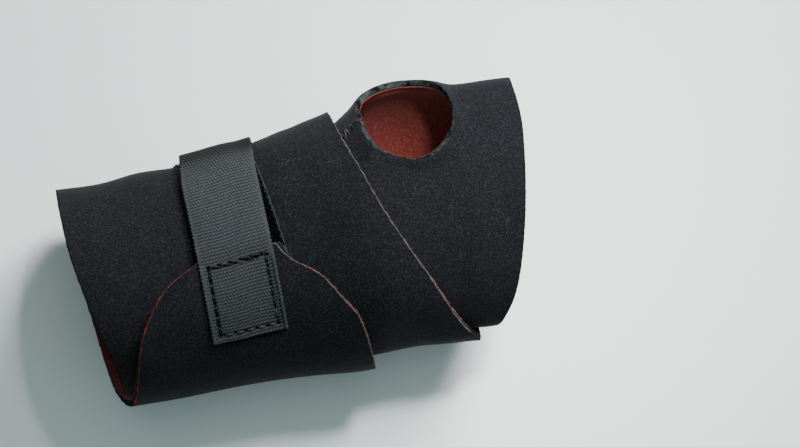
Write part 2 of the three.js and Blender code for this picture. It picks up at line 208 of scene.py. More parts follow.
def undulation(x, angle):
    """The soft uneven lie of every layer. It fades out on the flat back."""
    turn = np.radians(angle)
    palmward, thumbward = np.sin(turn), np.cos(turn)
    wave = 0.22 * np.sin(x / 11 + 1.6 * palmward) + 0.16 * np.sin(x / 5.3 - 2.2 * np.cos(2 * turn))
    crease = 0.35 * hump(x, 6, 9) * np.sin(x / 3.1 + 2 * palmward) * ease(thumbward, 0.2, 0.9)
    from_strap = np.abs(x - STRAP_MIDDLE - STRAP_LEAN * 30 * thumbward) - STRAP_WIDTH / 2
    pull = -0.5 * hump(from_strap, 1, 4) * ease(thumbward, -0.1, 0.4) * ease(palmward, 0.35, 0.75)
    dent = -0.9 * hump(x, -9.5, 5) * hump(np.mod(angle + 180, 360), 192, 22)
    heel = 3.5 * hump(x, 30, 20) * ease(palmward, 0.3, 0.95)
    rim = 1.5 * ease(x, 55, 68) * hump(np.mod(angle, 360), 172, 15)
    on_back = ease(-palmward, 0.25, 0.7)
    return (wave + crease + pull + dent + heel + rim) * (1 - on_back)


def wrap_off(angle, x):
    """Distance of the wrap's inner face. It lifts off on the thumb side and bulges at the ulnar edge."""
    rise = (0.7 + 1.5 * ease(x, 2, 24)) * ease(x, -60, -38) + 1.9 * (1 - ease(x, -52, -33))
    bulge = (1.0 * ease(x, 8, 26) + 0.6 * ease(x, 36, 58)) * hump(angle, 176, 20)
    return PITCH * (2 - ease(angle, -58, -8)) + rise * hump(angle, 4, 26) + bulge


def flap_off(angle, x):
    """Distance of the flap's inner face, from its tip over the ulnar edge to the split on the back."""
    near_fold = ease(angle, 120, 172) * (1 - ease(angle, 186, SPLIT - 4))
    corner = 2.6 * ease(x, -20, 20) * near_fold
    loop = 1.2 * ease(-x, 38, 68) * near_fold
    sewn = 0.45 * ease(angle, FLAP_END - 6, FLAP_END + 6) * (1 - ease(angle, ROOT_ANGLE - 3, ROOT_ANGLE + 8))
    sewn = sewn * np.exp(-(((x - STRAP_MIDDLE) / 15) ** 6))
    return 2 * PITCH + corner + loop - sewn


def strap_middle(angle):
    y = place(STRAP_MIDDLE, angle, FLAP_FACE)[..., 1] / MM + MIDDLE[1]
    return STRAP_MIDDLE + STRAP_LEAN * y + 1.5 * (1 - ease(angle, 8, 42))


def strap_off(angle, x):
    """Distance of the strap's inner face: sewn on the flap, then down to the tapes on the wrap."""
    on_wrap = wrap_off(angle, x) + CLOTH + 2 * TAPE + 0.55
    on_flap = flap_off(angle, x) + CLOTH + 0.05
    free = ease(angle, FLAP_END - 20, FLAP_END - 2)
    across = (np.asarray(x) - strap_middle(np.asarray(angle, float))) / (STRAP_WIDTH / 2)
    shoulder = (0.45 - 1.5 * across - 0.35 * ease(across, 0.2, 1)) * hump(angle, 15, 13)
    over_palm = ease(angle, 20, 40) * (1 - ease(angle, FLAP_END - 22, FLAP_END - 6))
    shoulder = shoulder + 0.5 * (1 - across) * over_palm
    return on_wrap + (on_flap - on_wrap) * free + shoulder


# ---- Mesh tools ----
EDGE_STEPS = np.array([0, 0.08, 0.2, 0.4, 0.7, 1.2])  # rows of points beside a cut edge
SHARP = math.radians(42)


def linked(name, data):
    obj = bpy.data.objects.new(name, data)
    bpy.context.scene.collection.objects.link(obj)
    return obj


def new_object(name, points, faces, looks, face_looks=None, uvs=None, depth=None):
    """A mesh from its points. depth is a value for each point that the webbing's look reads as painted shade.
    """
    mesh = bpy.data.meshes.new(name)
    mesh.from_pydata([tuple(p) for p in points], [], faces)
    for look in looks:
        mesh.materials.append(look)
    if face_looks is not None:
        mesh.polygons.foreach_set("material_index", np.asarray(face_looks, np.int32))
    if uvs is not None:
        layer = mesh.uv_layers.new(name="cloth")
        corner = np.zeros(len(mesh.loops), np.int32)
        mesh.loops.foreach_get("vertex_index", corner)
        layer.data.foreach_set("uv", np.asarray(uvs, np.float32)[corner].ravel())
    if depth is not None:
        layer = mesh.attributes.new("depth", "FLOAT", "POINT")
        layer.data.foreach_set("value", np.asarray(depth, np.float32))
    mesh.polygons.foreach_set("use_smooth", np.ones(len(mesh.polygons), bool))
    mesh.set_sharp_from_angle(angle=SHARP)
    mesh.validate()
    return linked(name, mesh)


def settle(piece, slot, *nodes, body="wrap", bend=None, padded=False):
    if bend:
        bend(piece)
    else:
        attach(piece, body)
    if nodes:
        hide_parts(*nodes)


class Pattern:
    """A piece of cloth laid flat: its points (angle, x), its quads, and each point's way to a cut edge.
    inner is where the points of its inner face lie, and lift raises both faces."""

    def __init__(self, angles, prox, dist, rows, closed=False, free=(True, True)):
        self.n, self.closed = len(angles), closed
        low, high = np.asarray(prox(angles), float), np.asarray(dist(angles), float)
        inner = np.linspace(0, 1, rows + 1)[1:-1]
        ends = EDGE_STEPS[-1]
        columns = [low[:, None] + EDGE_STEPS]
        columns.append((low + ends)[:, None] + (high - low - 2 * ends)[:, None] * inner)
        columns.append(high[:, None] - EDGE_STEPS[::-1])
        xs = np.concatenate(columns, 1)
        self.m = xs.shape[1]
        self.angle = np.repeat(angles, self.m)
        self.x = xs.ravel()
        self.edge = np.minimum(xs - low[:, None], high[:, None] - xs)
        if free[0]:
            self.edge = np.minimum(self.edge, (arc(angles) - arc(angles[0]))[:, None])
        if free[1]:
            self.edge = np.minimum(self.edge, (arc(angles[-1]) - arc(angles))[:, None])
        self.edge = self.edge.ravel()
        self.inner, self.lift = (self.angle, self.x), 0.0
        spans = self.n if closed else self.n - 1
        self.quads = [self.quad(i, j) for i in range(spans) for j in range(self.m - 1)]

    def at(self, i, j):
        return (i % self.n) * self.m + j

    def quad(self, i, j):
        return (self.at(i, j), self.at(i + 1, j), self.at(i + 1, j + 1), self.at(i, j + 1))


def bends(start, end, step, free=(True, True)):
    """Angles from start to end, close together beside a cut end."""
    near = EDGE_STEPS / 0.7
    low = start + near if free[0] else np.array([start])
    high = end - near[::-1] if free[1] else np.array([end])
    count = max(2, int(round((high[0] - low[-1]) / step)))
    return np.concatenate([low, np.linspace(low[-1], high[0], count + 1)[1:-1], high])


def boundary(quads):
    """The directed edges that only one quad has."""
    seen = {}
    for q in quads:
        for a, b in zip(q, q[1:] + q[:1]):
            seen[(a, b)] = True
    return [(a, b) for a, b in seen if (b, a) not in seen]


def shell(
    name, cut, inner, outer, looks, edge_look=None,
    wall=(0.22, 0.5, 0.78), recess=0.12, depth=None, soft=0.45, core=None,
):
    """A closed piece of cloth between two distances, with cut edges rounded over soft millimetres.
    edge_look(angle, x) is the index of the look of a cut edge there, and core the index of the look of its
    middle. wall is where the edge's rows of points lie between the faces, and recess how far they draw in."""
    n = len(cut.x)
    near = np.clip(1 - cut.edge / soft, 0, 1)
    rounding = soft * (1 - np.sqrt(np.clip(1 - near * near, 0, 1)))
    under_angle, under_x = cut.inner
    low, high = inner(under_angle, under_x) + cut.lift, outer(cut.angle, cut.x) + cut.lift
    top = place(cut.x, cut.angle, high + undulation(cut.x, cut.angle) - rounding)
    bottom = place(under_x, under_angle, low + undulation(under_x, under_angle) + 0.4 * rounding)
    edges = boundary(cut.quads)
    rim = sorted({v for e in edges for v in e})
    place_in_rim = {v: k for k, v in enumerate(rim)}
    middle, count = np.zeros((n, 3)), np.zeros(n)
    for q in cut.quads:
        centre = (top[q[0]] + top[q[1]] + top[q[2]] + top[q[3]]) / 4
        for v in q:
            middle[v] += centre
            count[v] += 1
    inward = middle[rim] / count[rim][:, None] - top[rim]
    inward /= np.linalg.norm(inward, axis=1)[:, None] + 1e-12
    walls = []
    for share in wall:
        rough = recess * (math.sin(math.pi * share) + 0.3 * RNG.standard_normal(len(rim)))
        walls.append(top[rim] * (1 - share) + bottom[rim] * share + inward * (rough * MM)[:, None])
    points = np.concatenate([top, bottom, *walls])
    faces = list(cut.quads)
    faces += [tuple(n + v for v in reversed(q)) for q in cut.quads]
    looks_of = np.zeros(len(cut.quads) * 2, int)
    if edge_look is not None:
        corners = np.array(cut.quads)
        at_edge = cut.edge[corners].min(axis=1) < 0.3
        chosen = edge_look(cut.angle[corners[:, 0]], cut.x[corners[:, 0]])
        looks_of[: len(cut.quads)] = np.where(at_edge, chosen, 0)
    looks_of = list(looks_of)
    last = len(wall) + 1

    def row(k, v):
        """The point of row k of the wall, from the outer face (0) to the inner one, under rim point v."""
        return v if k == 0 else n + v if k == last else 2 * n + (k - 1) * len(rim) + place_in_rim[v]

    for a, b in edges:
        look = int(edge_look(cut.angle[a], cut.x[a])) if edge_look is not None else 0
        for k in range(last):
            faces.append((row(k, b), row(k, a), row(k + 1, a), row(k + 1, b)))
            looks_of.append(core if core and look and 0 < k < last - 1 else look)
    flat = np.stack([arc(cut.angle), cut.x], 1) / 100
    uvs = np.concatenate([flat, flat, *[flat[rim]] * len(wall)])
    deep = None
    if depth is not None:
        d = depth(cut.angle, cut.x)
        # the inner face takes depth 1, the darkest painted shade
        deep = np.concatenate([d, np.ones(n), *[d[rim]] * len(wall)])
    return new_object(name, points, faces, looks, looks_of, uvs, deep)


def tube(rings):
    """Points and faces of a closed tube through rings of points, which are millimetres."""
    count, sides = len(rings), len(rings[0])
    faces = []
    for k in range(count - 1):
        for i in range(sides):
            a, b = k * sides + i, k * sides + (i + 1) % sides
            faces.append((a, b, b + sides, a + sides))
    faces.append(tuple(reversed(range(sides))))
    faces.append(tuple(range((count - 1) * sides, count * sides)))
    return [point * MM for ring in rings for point in ring], faces


def join(*made):
    """Points and faces of several meshes as one."""
    points, faces = [], []
    for p, f in made:
        base = len(points)
        points += list(p)
        faces += [tuple(base + v for v in face) for face in f]
    return points, faces


def circle(centre, across, up, radius, turns):
    """Points round a centre, at turns in radians."""
    return [centre + radius * (math.cos(turn) * across + math.sin(turn) * up) for turn in turns]


def thread_line(path, normals, pitch, length, radius, sink=0.1, sides=7, rings=9, stagger=0.0):
    """Stitches along a line of points: each one is a short twisted thread whose ends dip into the cloth."""
    path, normals = np.asarray(path) / MM, np.asarray(normals)
    far = np.concatenate([[0], np.cumsum(np.linalg.norm(np.diff(path, axis=0), axis=1))])
    at = lambda s, rows: np.stack([np.interp(s, far, rows[:, k]) for k in range(3)], -1)
    turn = np.linspace(0, 2 * np.pi, sides, endpoint=False)
    made = []
    for start in np.arange(pitch / 2 + stagger, far[-1] - length / 2, pitch):
        share = np.linspace(-1, 1, rings)
        s = start + share * length / 2
        line, normal = at(s, path), at(s, normals)
        normal /= np.linalg.norm(normal, axis=1)[:, None]
        along = np.gradient(line, axis=0)
        along /= np.linalg.norm(along, axis=1)[:, None]
        side = np.cross(along, normal)
        thick = radius * np.sqrt(np.clip(1 - share**6, 0.06, 1))
        rise = radius * 0.9 * (1 - np.abs(share) ** 3) - sink - radius * 0.9 * np.abs(share) ** 5
        line = line + normal * rise[:, None]
        stitch = []
        for k in range(rings):
            lobes = thick[k] * (1 + 0.16 * np.cos(2 * (turn - 2.6 * share[k] * length / 2)))
            sideways, outwards = (np.cos(turn) * lobes)[:, None], (np.sin(turn) * lobes)[:, None]
            stitch.append(line[k] + sideways * side[k] + outwards * normal[k])
        made.append(tube(stitch))
    return join(*made)


def over(angles, xs, off):
    """Points on a layer, and its outward directions."""
    angles, xs = np.broadcast_arrays(np.asarray(angles, float), np.asarray(xs, float))
    distance = off(angles, xs) + undulation(xs, angles)
    base, lifted = place(xs, angles, distance), place(xs, angles, distance + 1)
    return base, (lifted - base) / MM


# ---- Materials ----
class Look:
    """A small helper for building a material's nodes."""

    def __init__(self, name, **sockets):
        self.material = bpy.data.materials.new(name)
        self.material.use_nodes = True
        self.tree = self.material.node_tree
        self.shader = self.tree.nodes["Principled BSDF"]
        for key, value in sockets.items():
            self.shader.inputs[key.replace("_", " ")].default_value = value

    def node(self, kind, links=None, **settings):
        node = self.tree.nodes.new(kind)
        for key, value in settings.items():
            if hasattr(node, key):
                setattr(node, key, value)
            else:
                node.inputs[key.replace("_", " ")].default_value = value
        for key, source in (links or {}).items():
            self.tree.links.new(source, node.inputs[key])
        return node

    def link(self, output, socket):
        self.tree.links.new(output, self.shader.inputs[socket])

    def cloth_uv(self):
        return self.node("ShaderNodeUVMap", uv_map="cloth").outputs[0]

    def position(self):
        return self.node("ShaderNodeTexCoord").outputs["Object"]

    def noise(self, vector, scale, detail=3.0, roughness=0.6):
        settings = {"Scale": scale, "Detail": detail, "Roughness": roughness}
        return self.node("ShaderNodeTexNoise", {"Vector": vector}, **settings).outputs["Fac"]

    def ramp(self, factor, stops):
        made = self.node("ShaderNodeValToRGB", {"Fac": factor})
        elements = made.color_ramp.elements
        while len(elements) < len(stops):
            elements.new(0.5)
        for element, (at, colour) in zip(elements, stops):
            element.position = at
            element.color = (*colour, 1) if len(colour) == 3 else colour
        return made.outputs["Color"]

    def mix(self, factor, a, b, kind="MIX"):
        made = self.node("ShaderNodeMix", data_type="RGBA", blend_type=kind)
        for socket, value in ((0, factor), (6, a), (7, b)):
            if hasattr(value, "is_output"):
                self.tree.links.new(value, made.inputs[socket])
            else:
                made.inputs[socket].default_value = (*value, 1) if socket else value
        return made.outputs[2]

    def math(self, kind, *values):
        made = self.node("ShaderNodeMath", operation=kind)
        for k, value in enumerate(values):
            if hasattr(value, "is_output"):
                self.tree.links.new(value, made.inputs[k])
            else:
                made.inputs[k].default_value = value
        return made.outputs[0]

    def bump(self, *layers):
        """Bumps laid over each other: each is (height, strength, millimetres)."""
        normal = None
        for height, strength, depth in layers:
            links = {"Height": height}
            if normal is not None:
                links["Normal"] = normal
            normal = self.node("ShaderNodeBump", links, Strength=strength, Distance=depth * MM).outputs[0]
        self.link(normal, "Normal")


def knit(look, pitch):
    """The fine columns and rows of a jersey face, from 0 to 1."""
    parts = look.node("ShaderNodeSeparateXYZ", {"Vector": look.cloth_uv()})
    wave = 2 * math.pi * 100 / pitch
    across = look.math("SINE", look.math("MULTIPLY", parts.outputs[0], wave))
    along = look.math("SINE", look.math("MULTIPLY", parts.outputs[1], wave * 0.8))
    return look.math("MULTIPLY_ADD", look.math("MULTIPLY", across, along), 0.5, 0.5)


def neoprene_look():
    tint = (0.62, 0.6, 0.72, 1)
    sheen = {"Sheen_Weight": 0.035, "Sheen_Roughness": 0.45, "Sheen_Tint": tint}
    look = Look("neoprene_face", Roughness=0.88, Specular_IOR_Level=0.1, **sheen)
    where = look.position()
    speckle = look.noise(where, 1450, 2.0, 0.7)
    patch = look.noise(where, 26, 3.0, 0.5)
    rub = look.noise(where, 160, 4.0, 0.65)
    base = look.ramp(patch, [(0.3, (0.0014, 0.0031, 0.0034)), (0.7, (0.0026, 0.0042, 0.0048))])
    light_fleck = (0.0215, 0.0186, 0.0226)
    flecks = look.ramp(speckle, [(0.42, (0, 0, 0)), (0.58, (0.0062, 0.0056, 0.0068)), (0.76, light_fleck)])
    colour = look.mix(1.0, base, flecks, "ADD")
    worn = look.ramp(rub, [(0.45, (0.82, 0.84, 0.84)), (0.7, (1.25, 1.2, 1.22))])
    look.link(look.mix(1.0, colour, worn, "MULTIPLY"), "Base Color")
    look.link(look.math("MULTIPLY_ADD", rub, 0.2, 0.74), "Roughness")
    look.bump((knit(look, 0.55), 0.5, 0.05), (speckle, 0.6, 0.06), (patch, 0.5, 0.25))
    return look.material


def foam_look(name, dark, light, fleck, fleck_from):
    """A cut edge of the cloth: open cells, frayed face threads and fibres of the lining."""
    look = Look(name, Roughness=0.95, Specular_IOR_Level=0.05)
    where = look.position()
    cells = look.node("ShaderNodeTexVoronoi", {"Vector": where}, Scale=2600.0).outputs["Distance"]
    along = look.noise(where, 420, 3.0, 0.7)
    body = look.ramp(along, [(0.3, dark), (0.68, light)])
    stops = [(fleck_from, (0, 0, 0)), (fleck_from + 0.1, (1, 1, 1))]
    stain = look.ramp(look.noise(where, 260, 3.0, 0.75), stops)
    look.link(look.mix(stain, body, fleck), "Base Color")
    look.bump((cells, 0.8, 0.12), (along, 0.8, 0.15))
    return look.material


def lining_look():
    sheen = {"Sheen_Weight": 0.2, "Sheen_Roughness": 0.6, "Sheen_Tint": (0.9, 0.45, 0.4, 1)}
    look = Look("brushed_lining", Roughness=0.95, Specular_IOR_Level=0.1, **sheen)
    where = look.position()
    nap = look.noise(where, 900, 3.0, 0.7)
    patch = look.noise(where, 40, 3.0, 0.6)
    deep, red, pale = (0.075, 0.012, 0.010), (0.135, 0.026, 0.020), (0.21, 0.06, 0.05)
    base = look.ramp(nap, [(0.25, deep), (0.55, red), (0.8, pale)])
    tone = look.ramp(patch, [(0.3, (0.82, 0.8, 0.8)), (0.7, (1.12, 1.1, 1.1))])
    look.link(look.mix(1.0, base, tone, "MULTIPLY"), "Base Color")
    look.bump((knit(look, 0.7), 0.6, 0.1), (nap, 0.9, 0.15))
    return look.material


def webbing_look():
    """Grey-green yarn with painted shade from the mesh's depth: darker in the gaps of the weave, at the
    stitches and where the strap turns away. The mesh's depth is 0 on a crown and 1 in a gap.
    """
    sheen = {"Sheen_Weight": 0.03, "Sheen_Roughness": 0.4}
    look = Look("woven_webbing", Roughness=0.8, Specular_IOR_Level=0.05, **sheen)
    where = look.position()
    # depth carries the painted shade that darkens the colour below
    depth = look.node("ShaderNodeAttribute", attribute_name="depth").outputs["Fac"]
    yarn = look.noise(where, 900, 2.0, 0.6)
    shade = look.noise(where, 60, 2.0, 0.5)
    crown, flank = (0.047, 0.056, 0.0575), (0.0315, 0.038, 0.039)
    deep, gap = (0.0115, 0.0148, 0.0153), (0.001, 0.0014, 0.0015)
    weave = look.ramp(depth, [(0.0, crown), (0.4, flank), (0.75, deep), (1.0, gap)])
    tint = look.ramp(yarn, [(0.3, (0.78, 0.8, 0.82)), (0.7, (1.2, 1.18, 1.14))])
    drift = look.ramp(shade, [(0.3, (0.9, 0.92, 0.95)), (0.7, (1.08, 1.06, 1.02))])
    colour = look.mix(1.0, look.mix(1.0, weave, tint, "MULTIPLY"), drift, "MULTIPLY")
    look.link(colour, "Base Color")
    look.link(look.math("MULTIPLY_ADD", yarn, 0.25, 0.65), "Roughness")
    look.bump((yarn, 0.5, 0.06))
    return look.material


def grained_look(name, dark, light, grain, roughness, bump, **sockets):
    """A look whose colour, roughness and bump follow one noise. grain is its scale, detail and roughness,
    roughness is the range and the lowest value, and bump is the strength and the height."""
    look = Look(name, **sockets)
    noise = look.noise(look.position(), *grain)
    look.link(look.ramp(noise, [(0.3, dark), (0.7, light)]), "Base Color")
    look.link(look.math("MULTIPLY_ADD", noise, *roughness), "Roughness")
    look.bump((noise, *bump))
    return look.material


def thread_look(name, dark, light):
    sockets = {"Roughness": 0.5, "Specular_IOR_Level": 0.14}
    return grained_look(name, dark, light, (1500, 2.0, 0.6), (0.3, 0.28), (0.5, 0.05), **sockets)


def tape_look(name, dark, light, roughness, specular=0.06):
    sockets = {"Roughness": roughness, "Specular_IOR_Level": specular}
    return grained_look(name, dark, light, (700, 3.0, 0.7), (0.25, roughness - 0.12), (0.6, 0.1), **sockets)


def vinyl_look():
    dark, light, grain = (0.014, 0.014, 0.016), (0.028, 0.028, 0.031), (300, 3.0, 0.6)
    return grained_look("dipped_vinyl", dark, light, grain, (0.25, 0.32), (0.5, 0.1), Roughness=0.45)


def pocket_look():
    look = Look("pocket_cloth", Roughness=0.8, Sheen_Weight=0.04, Specular_IOR_Level=0.15)
    where = look.position()
    warp = look.node("ShaderNodeTexWave", {"Vector": where}, Scale=560.0, wave_profile="SIN").outputs["Fac"]
    weft = look.node("ShaderNodeTexWave", {"Vector": where}, Scale=560.0, bands_direction="Y").outputs["Fac"]
    weave = look.math("MULTIPLY", warp, weft)
    tone = look.noise(where, 90, 3.0, 0.6)
    base = look.ramp(weave, [(0.1, (0.006, 0.006, 0.007)), (0.8, (0.024, 0.024, 0.027))])
    worn = look.ramp(tone, [(0.3, (0.8, 0.8, 0.8)), (0.7, (1.2, 1.2, 1.2))])
    look.link(look.mix(1.0, base, worn, "MULTIPLY"), "Base Color")
    look.bump((weave, 0.8, 0.12), (tone, 0.4, 0.2))
    return look.material


def aluminium_look():
    look = Look("brushed_aluminium", Metallic=1.0, Roughness=0.35)
    where = look.position()
    stretched = look.node("ShaderNodeMapping", {"Vector": where})
    stretched.inputs["Scale"].default_value = (30, 1400, 1400)
    grain = look.noise(stretched.outputs[0], 1.0, 3.0, 0.6)
    blotch = look.noise(where, 120, 3.0, 0.6)
    look.link(look.ramp(grain, [(0.3, (0.52, 0.53, 0.55)), (0.7, (0.74, 0.75, 0.76))]), "Base Color")
    look.link(look.math("MULTIPLY_ADD", blotch, 0.2, 0.26), "Roughness")
    look.bump((grain, 0.3, 0.02))
    return look.material


NEOPRENE = neoprene_look()
LINING_LOOK = lining_look()
FRAYED_EDGE_AND_HIGHLIGHT, DARK_EDGE_AND_SHADE, RED_EDGE, HOLE_EDGE = (
    foam_look(name, dark, light, fleck, fleck_from)
    for name, dark, light, fleck, fleck_from in (
        # the frayed edge's light line: the face's cut threads, and partly a painted highlight on the rounded
        # edge
        ("frayed_edge_and_painted_highlight", (0.017, 0.0155, 0.0155), (0.084, 0.0745, 0.0725), (0.14, 0.026, 0.02), 0.61),
        # the dark edge look, also used as painted shade on the wrap's lining
        ("dark_edge_and_painted_shade", (0.002, 0.0026, 0.0028), (0.007, 0.008, 0.0085), (0.02, 0.005, 0.004), 0.72),
        ("red_edge", (0.012, 0.009, 0.009), (0.085, 0.05, 0.048), (0.24, 0.026, 0.022), 0.5),
        ("thumb_hole_edge", (0.004, 0.0055, 0.0055), (0.036, 0.047, 0.0445), (0.0012, 0.0018, 0.0018), 0.48),
    )
)
WEBBING = webbing_look()
THREAD = thread_look("black_thread", (0.0008, 0.0009, 0.001), (0.0055, 0.0058, 0.006))
# painted highlight: a pale look for some stitches of the black thread
THREAD_HIGHLIGHT = thread_look("painted_thread_highlight", (0.01, 0.011, 0.0108), (0.04, 0.042, 0.04))
HOOK = tape_look("hook_tape", (0.004, 0.0045, 0.005), (0.016, 0.017, 0.018), 0.6)
LOOP = tape_look("loop_tape", (0.0004, 0.0007, 0.0007), (0.002, 0.0032, 0.0032), 0.8, specular=0.015)
GLINT = tape_look("loop_glint", (0.012, 0.018, 0.019), (0.045, 0.06, 0.062), 0.5)
SELVEDGE = tape_look("patch_selvedge", (0.006, 0.009, 0.009), (0.04, 0.052, 0.05), 0.7)
POCKET = pocket_look()
ALUMINIUM = aluminium_look()
VINYL = vinyl_look()
RED_FIBRE = tape_look("lining_fibre", (0.07, 0.012, 0.01), (0.17, 0.03, 0.024), 0.8)
PINK_FIBRE = tape_look("face_fibre", (0.06, 0.052, 0.05), (0.15, 0.13, 0.125), 0.8)


# ---- The hand cuff ----
def ragged(angle, seed, size=0.14):
    """The uneven line of a cut edge."""
    a = np.asarray(angle, float)
    long, middle, short = np.sin(a * 0.83 + seed), np.sin(a * 2.1 + 2 * seed), np.sin(a * 5.7 + 3 * seed)
    return size * (0.4 * long + 0.6 * middle + 0.5 * short)


def cuff_prox(angle):
    return CUFF_START + 0 * np.asarray(angle, float)


def cuff_dist(angle):
    return read(CUFF_EDGE, angle) + 0.5 * ragged(angle, 2.0) * np.sin(np.radians(angle) / 2)


HOLE_SHAPE = [  # bearing round the thumb hole (0 to the fingers, 90 to the palm) and radius of its outer edge
    (-180, 17.0), (-150, 17.6), (-90, 17.7), (0, 17.2), (30, 17.5), (60, 17.7), (90, 18.6), (110, 19.0),
    (133, 20.2), (150, 19.3), (165, 17.6), (180, 17.0),
]
HOLE_BEVEL = [  # bearing, and how far the hole is narrower at the lining
    (-180, 1.3), (-90, 0.3), (0, 0.3), (45, 0.8), (75, 0.8), (95, 0.4), (125, 0.6), (145, 1.4), (180, 1.3),
]
SEAM_BEARING = 172.0  # where the cuff's ends meet at the hole
HOLE_BEARINGS = np.arange(0, 360, 1.25)


def hole_outline(inside=0.0):
    """The thumb hole's edge as (angle, x). Its shape is drawn along the hole's tilted axis, and Newton steps
    find each of its points on the curved cloth. inside is the share of its bevel."""
    _, middle_y, height = section(HOLE_X)
    tilt = math.radians(HOLE_TILT)
    up = np.array([0, -math.sin(tilt), math.cos(tilt)])
    centre = np.array([HOLE_X, float(middle_y), DORSAL + UNDER * float(height)]) + HOLE_LIFT * up
    angle, x, outline = 33.0, 70.0, []
    for bearing in HOLE_BEARINGS:
        t, b = math.radians(bearing), (bearing + 180) % 360 - 180
        notch = 2.2 * math.exp(-(((b - SEAM_BEARING) / 1.8) ** 2))
        rough = 0.04 * math.sin(7 * t + 1) + 0.06 * math.sin(17 * t) + 0.06 * math.sin(41 * t)
        radius = float(read(HOLE_SHAPE, b)) - inside * float(read(HOLE_BEVEL, b)) + rough + notch
        target = radius * np.array([math.cos(t), math.sin(t)])
        for _ in range(5):
            here = flat_at(angle, x, centre, up)
            by_angle = (flat_at(angle + 0.5, x, centre, up) - here) / 0.5
            by_x = (flat_at(angle, x + 0.5, centre, up) - here) / 0.5
            step = np.linalg.solve(np.stack([by_angle, by_x], 1), target - here)
            angle += float(np.clip(step[0], -3, 3))
            x += float(np.clip(step[1], -3, 3))
        outline.append((angle, x))
    return np.array(outline)


def flat_at(angle, x, centre, up):
    """A point of the cuff's face, as it is seen along the hole's axis."""
    away = place(x, angle, CLOTH) / MM + MIDDLE - centre
    return np.array([away[0], away @ up])


def cuff_pattern(step, rows, hole_rings):
    """A closed band whose grid is opened round the thumb hole and filled with rings up to the hole's edge."""
    angles = np.arange(-180, 180, step)
    distal = lambda a: cuff_dist(np.mod(a, 360))
    cut = Pattern(angles, cuff_prox, distal, rows, closed=True, free=(False, False))
    outline, bevelled = hole_outline(), hole_outline(1.0)
    i0 = int(np.searchsorted(angles, outline[:, 0].min() - 9))
    i1 = int(np.searchsorted(angles, outline[:, 0].max() + 9))
    row_x = cut.x.reshape(cut.n, cut.m)[(i0 + i1) // 2]
    j0 = int(np.searchsorted(row_x, outline[:, 1].min() - 6))
    j1 = int(np.searchsorted(row_x, outline[:, 1].max() + 6))
    ring = [(i, j0) for i in range(i0, i1)] + [(i1, j) for j in range(j0, j1)]
    ring += [(i, j1) for i in range(i1, i0, -1)] + [(i0, j) for j in range(j1, j0, -1)]
    frame_ids = np.array([cut.at(i, j) for i, j in ring])
    inside = {(i, j) for i in range(i0, i1) for j in range(j0, j1)}
    cut.quads = [cut.quad(i, j) for i in range(cut.n) for j in range(cut.m - 1) if (i, j) not in inside]
    border = np.stack([cut.angle[frame_ids], cut.x[frame_ids]], 1)
    centre = outline.mean(0)
    scale = np.array([0.7, 1.0])
    bearing = lambda p: np.arctan2(*((p - centre) * scale).T[::-1])
    order = np.argsort(bearing(outline))
    turned = bearing(outline)[order]
    wanted = bearing(border)
    edge, inner_edge = (
        np.stack([np.interp(wanted, turned, line[order, k], period=2 * np.pi) for k in (0, 1)], 1)
        for line in (outline, bevelled)
    )
    away = border - edge
    reach = np.hypot(*(away * scale).T)
    shares = [min(1.0, s) for s in np.append(EDGE_STEPS / reach.mean(), np.linspace(0.2, 1, hole_rings)[:-1])]
    first = len(cut.x)
    ids = []
    angle, x, distance = [cut.angle], [cut.x], [cut.edge]
    under, lift = [np.stack([cut.angle, cut.x], 1)], [np.zeros(first)]
    for k, share in enumerate(shares):
        at = edge + away * share
        reached = share * reach.mean()  # millimetres from the hole's edge
        under.append(at + (inner_edge - edge) * math.exp(-reached / 1.5))
        lift.append(np.full(len(ring), 1.3 * math.exp(-((reached / 3.6) ** 2))))
        ids.append(np.arange(first + k * len(ring), first + (k + 1) * len(ring)))
        angle.append(at[:, 0])
        x.append(at[:, 1])
        distance.append(np.full(len(ring), reached))
    ids.append(frame_ids)
    cut.angle, cut.x, cut.edge = np.concatenate(angle), np.concatenate(x), np.concatenate(distance)
    under, cut.lift = np.concatenate(under), np.concatenate(lift)
    for inner, outer in zip(ids, ids[1:]):
        for k in range(len(ring)):
            nxt = (k + 1) % len(ring)
            cut.quads.append((int(inner[k]), int(outer[k]), int(outer[nxt]), int(inner[nxt])))
    keep = sorted({v for q in cut.quads for v in q})
    renamed = {v: k for k, v in enumerate(keep)}
    cut.angle, cut.x, cut.edge, cut.lift = cut.angle[keep], cut.x[keep], cut.edge[keep], cut.lift[keep]
    cut.inner = (under[keep, 0], under[keep, 1])
    cut.quads = [tuple(renamed[v] for v in q) for q in cut.quads]
    return cut


def under_face(cut):
    """The pattern of the lining: the outline of the foam's inner face."""
    lining = copy.copy(cut)
    lining.angle, lining.x = cut.inner
    return lining


def cuff_edge_look(angle, x):
    x, angle = np.asarray(x), np.asarray(angle)
    near_hole = (x > 31) & (x < 73) & (angle > -75) & (angle < 80)
    return np.where(near_hole, 2, 1)


def level(distance):
    """A layer at one distance everywhere."""
    return lambda angle, x: distance + 0 * np.asarray(x, float)


def raised(layer, height):
    """A layer at a height over another one."""
    return lambda angle, x: layer(angle, x) + height


def build_cuff():
    fine, looks = cuff_pattern(1.5, 110, 10), [NEOPRENE, DARK_EDGE_AND_SHADE, HOLE_EDGE]
    foam = shell("hand_cuff_foam", fine, level(LINING), level(CLOTH), looks, cuff_edge_look)
    settle(foam, "neoprene", "hand_cuff", padded=True)
    coarse = under_face(cuff_pattern(3.0, 60, 6))
    lining = shell("hand_cuff_lining_cloth", coarse, level(0), level(LINING - 0.02), [LINING_LOOK])
    settle(lining, "lining", "hand_cuff_lining", padded=True)


build_cuff()


# ---- The wrist wrap and its closing flap ----
def wrap_prox(angle):
    return read(WRAP_PROX, angle) + ragged(angle, 1.0, 0.1)


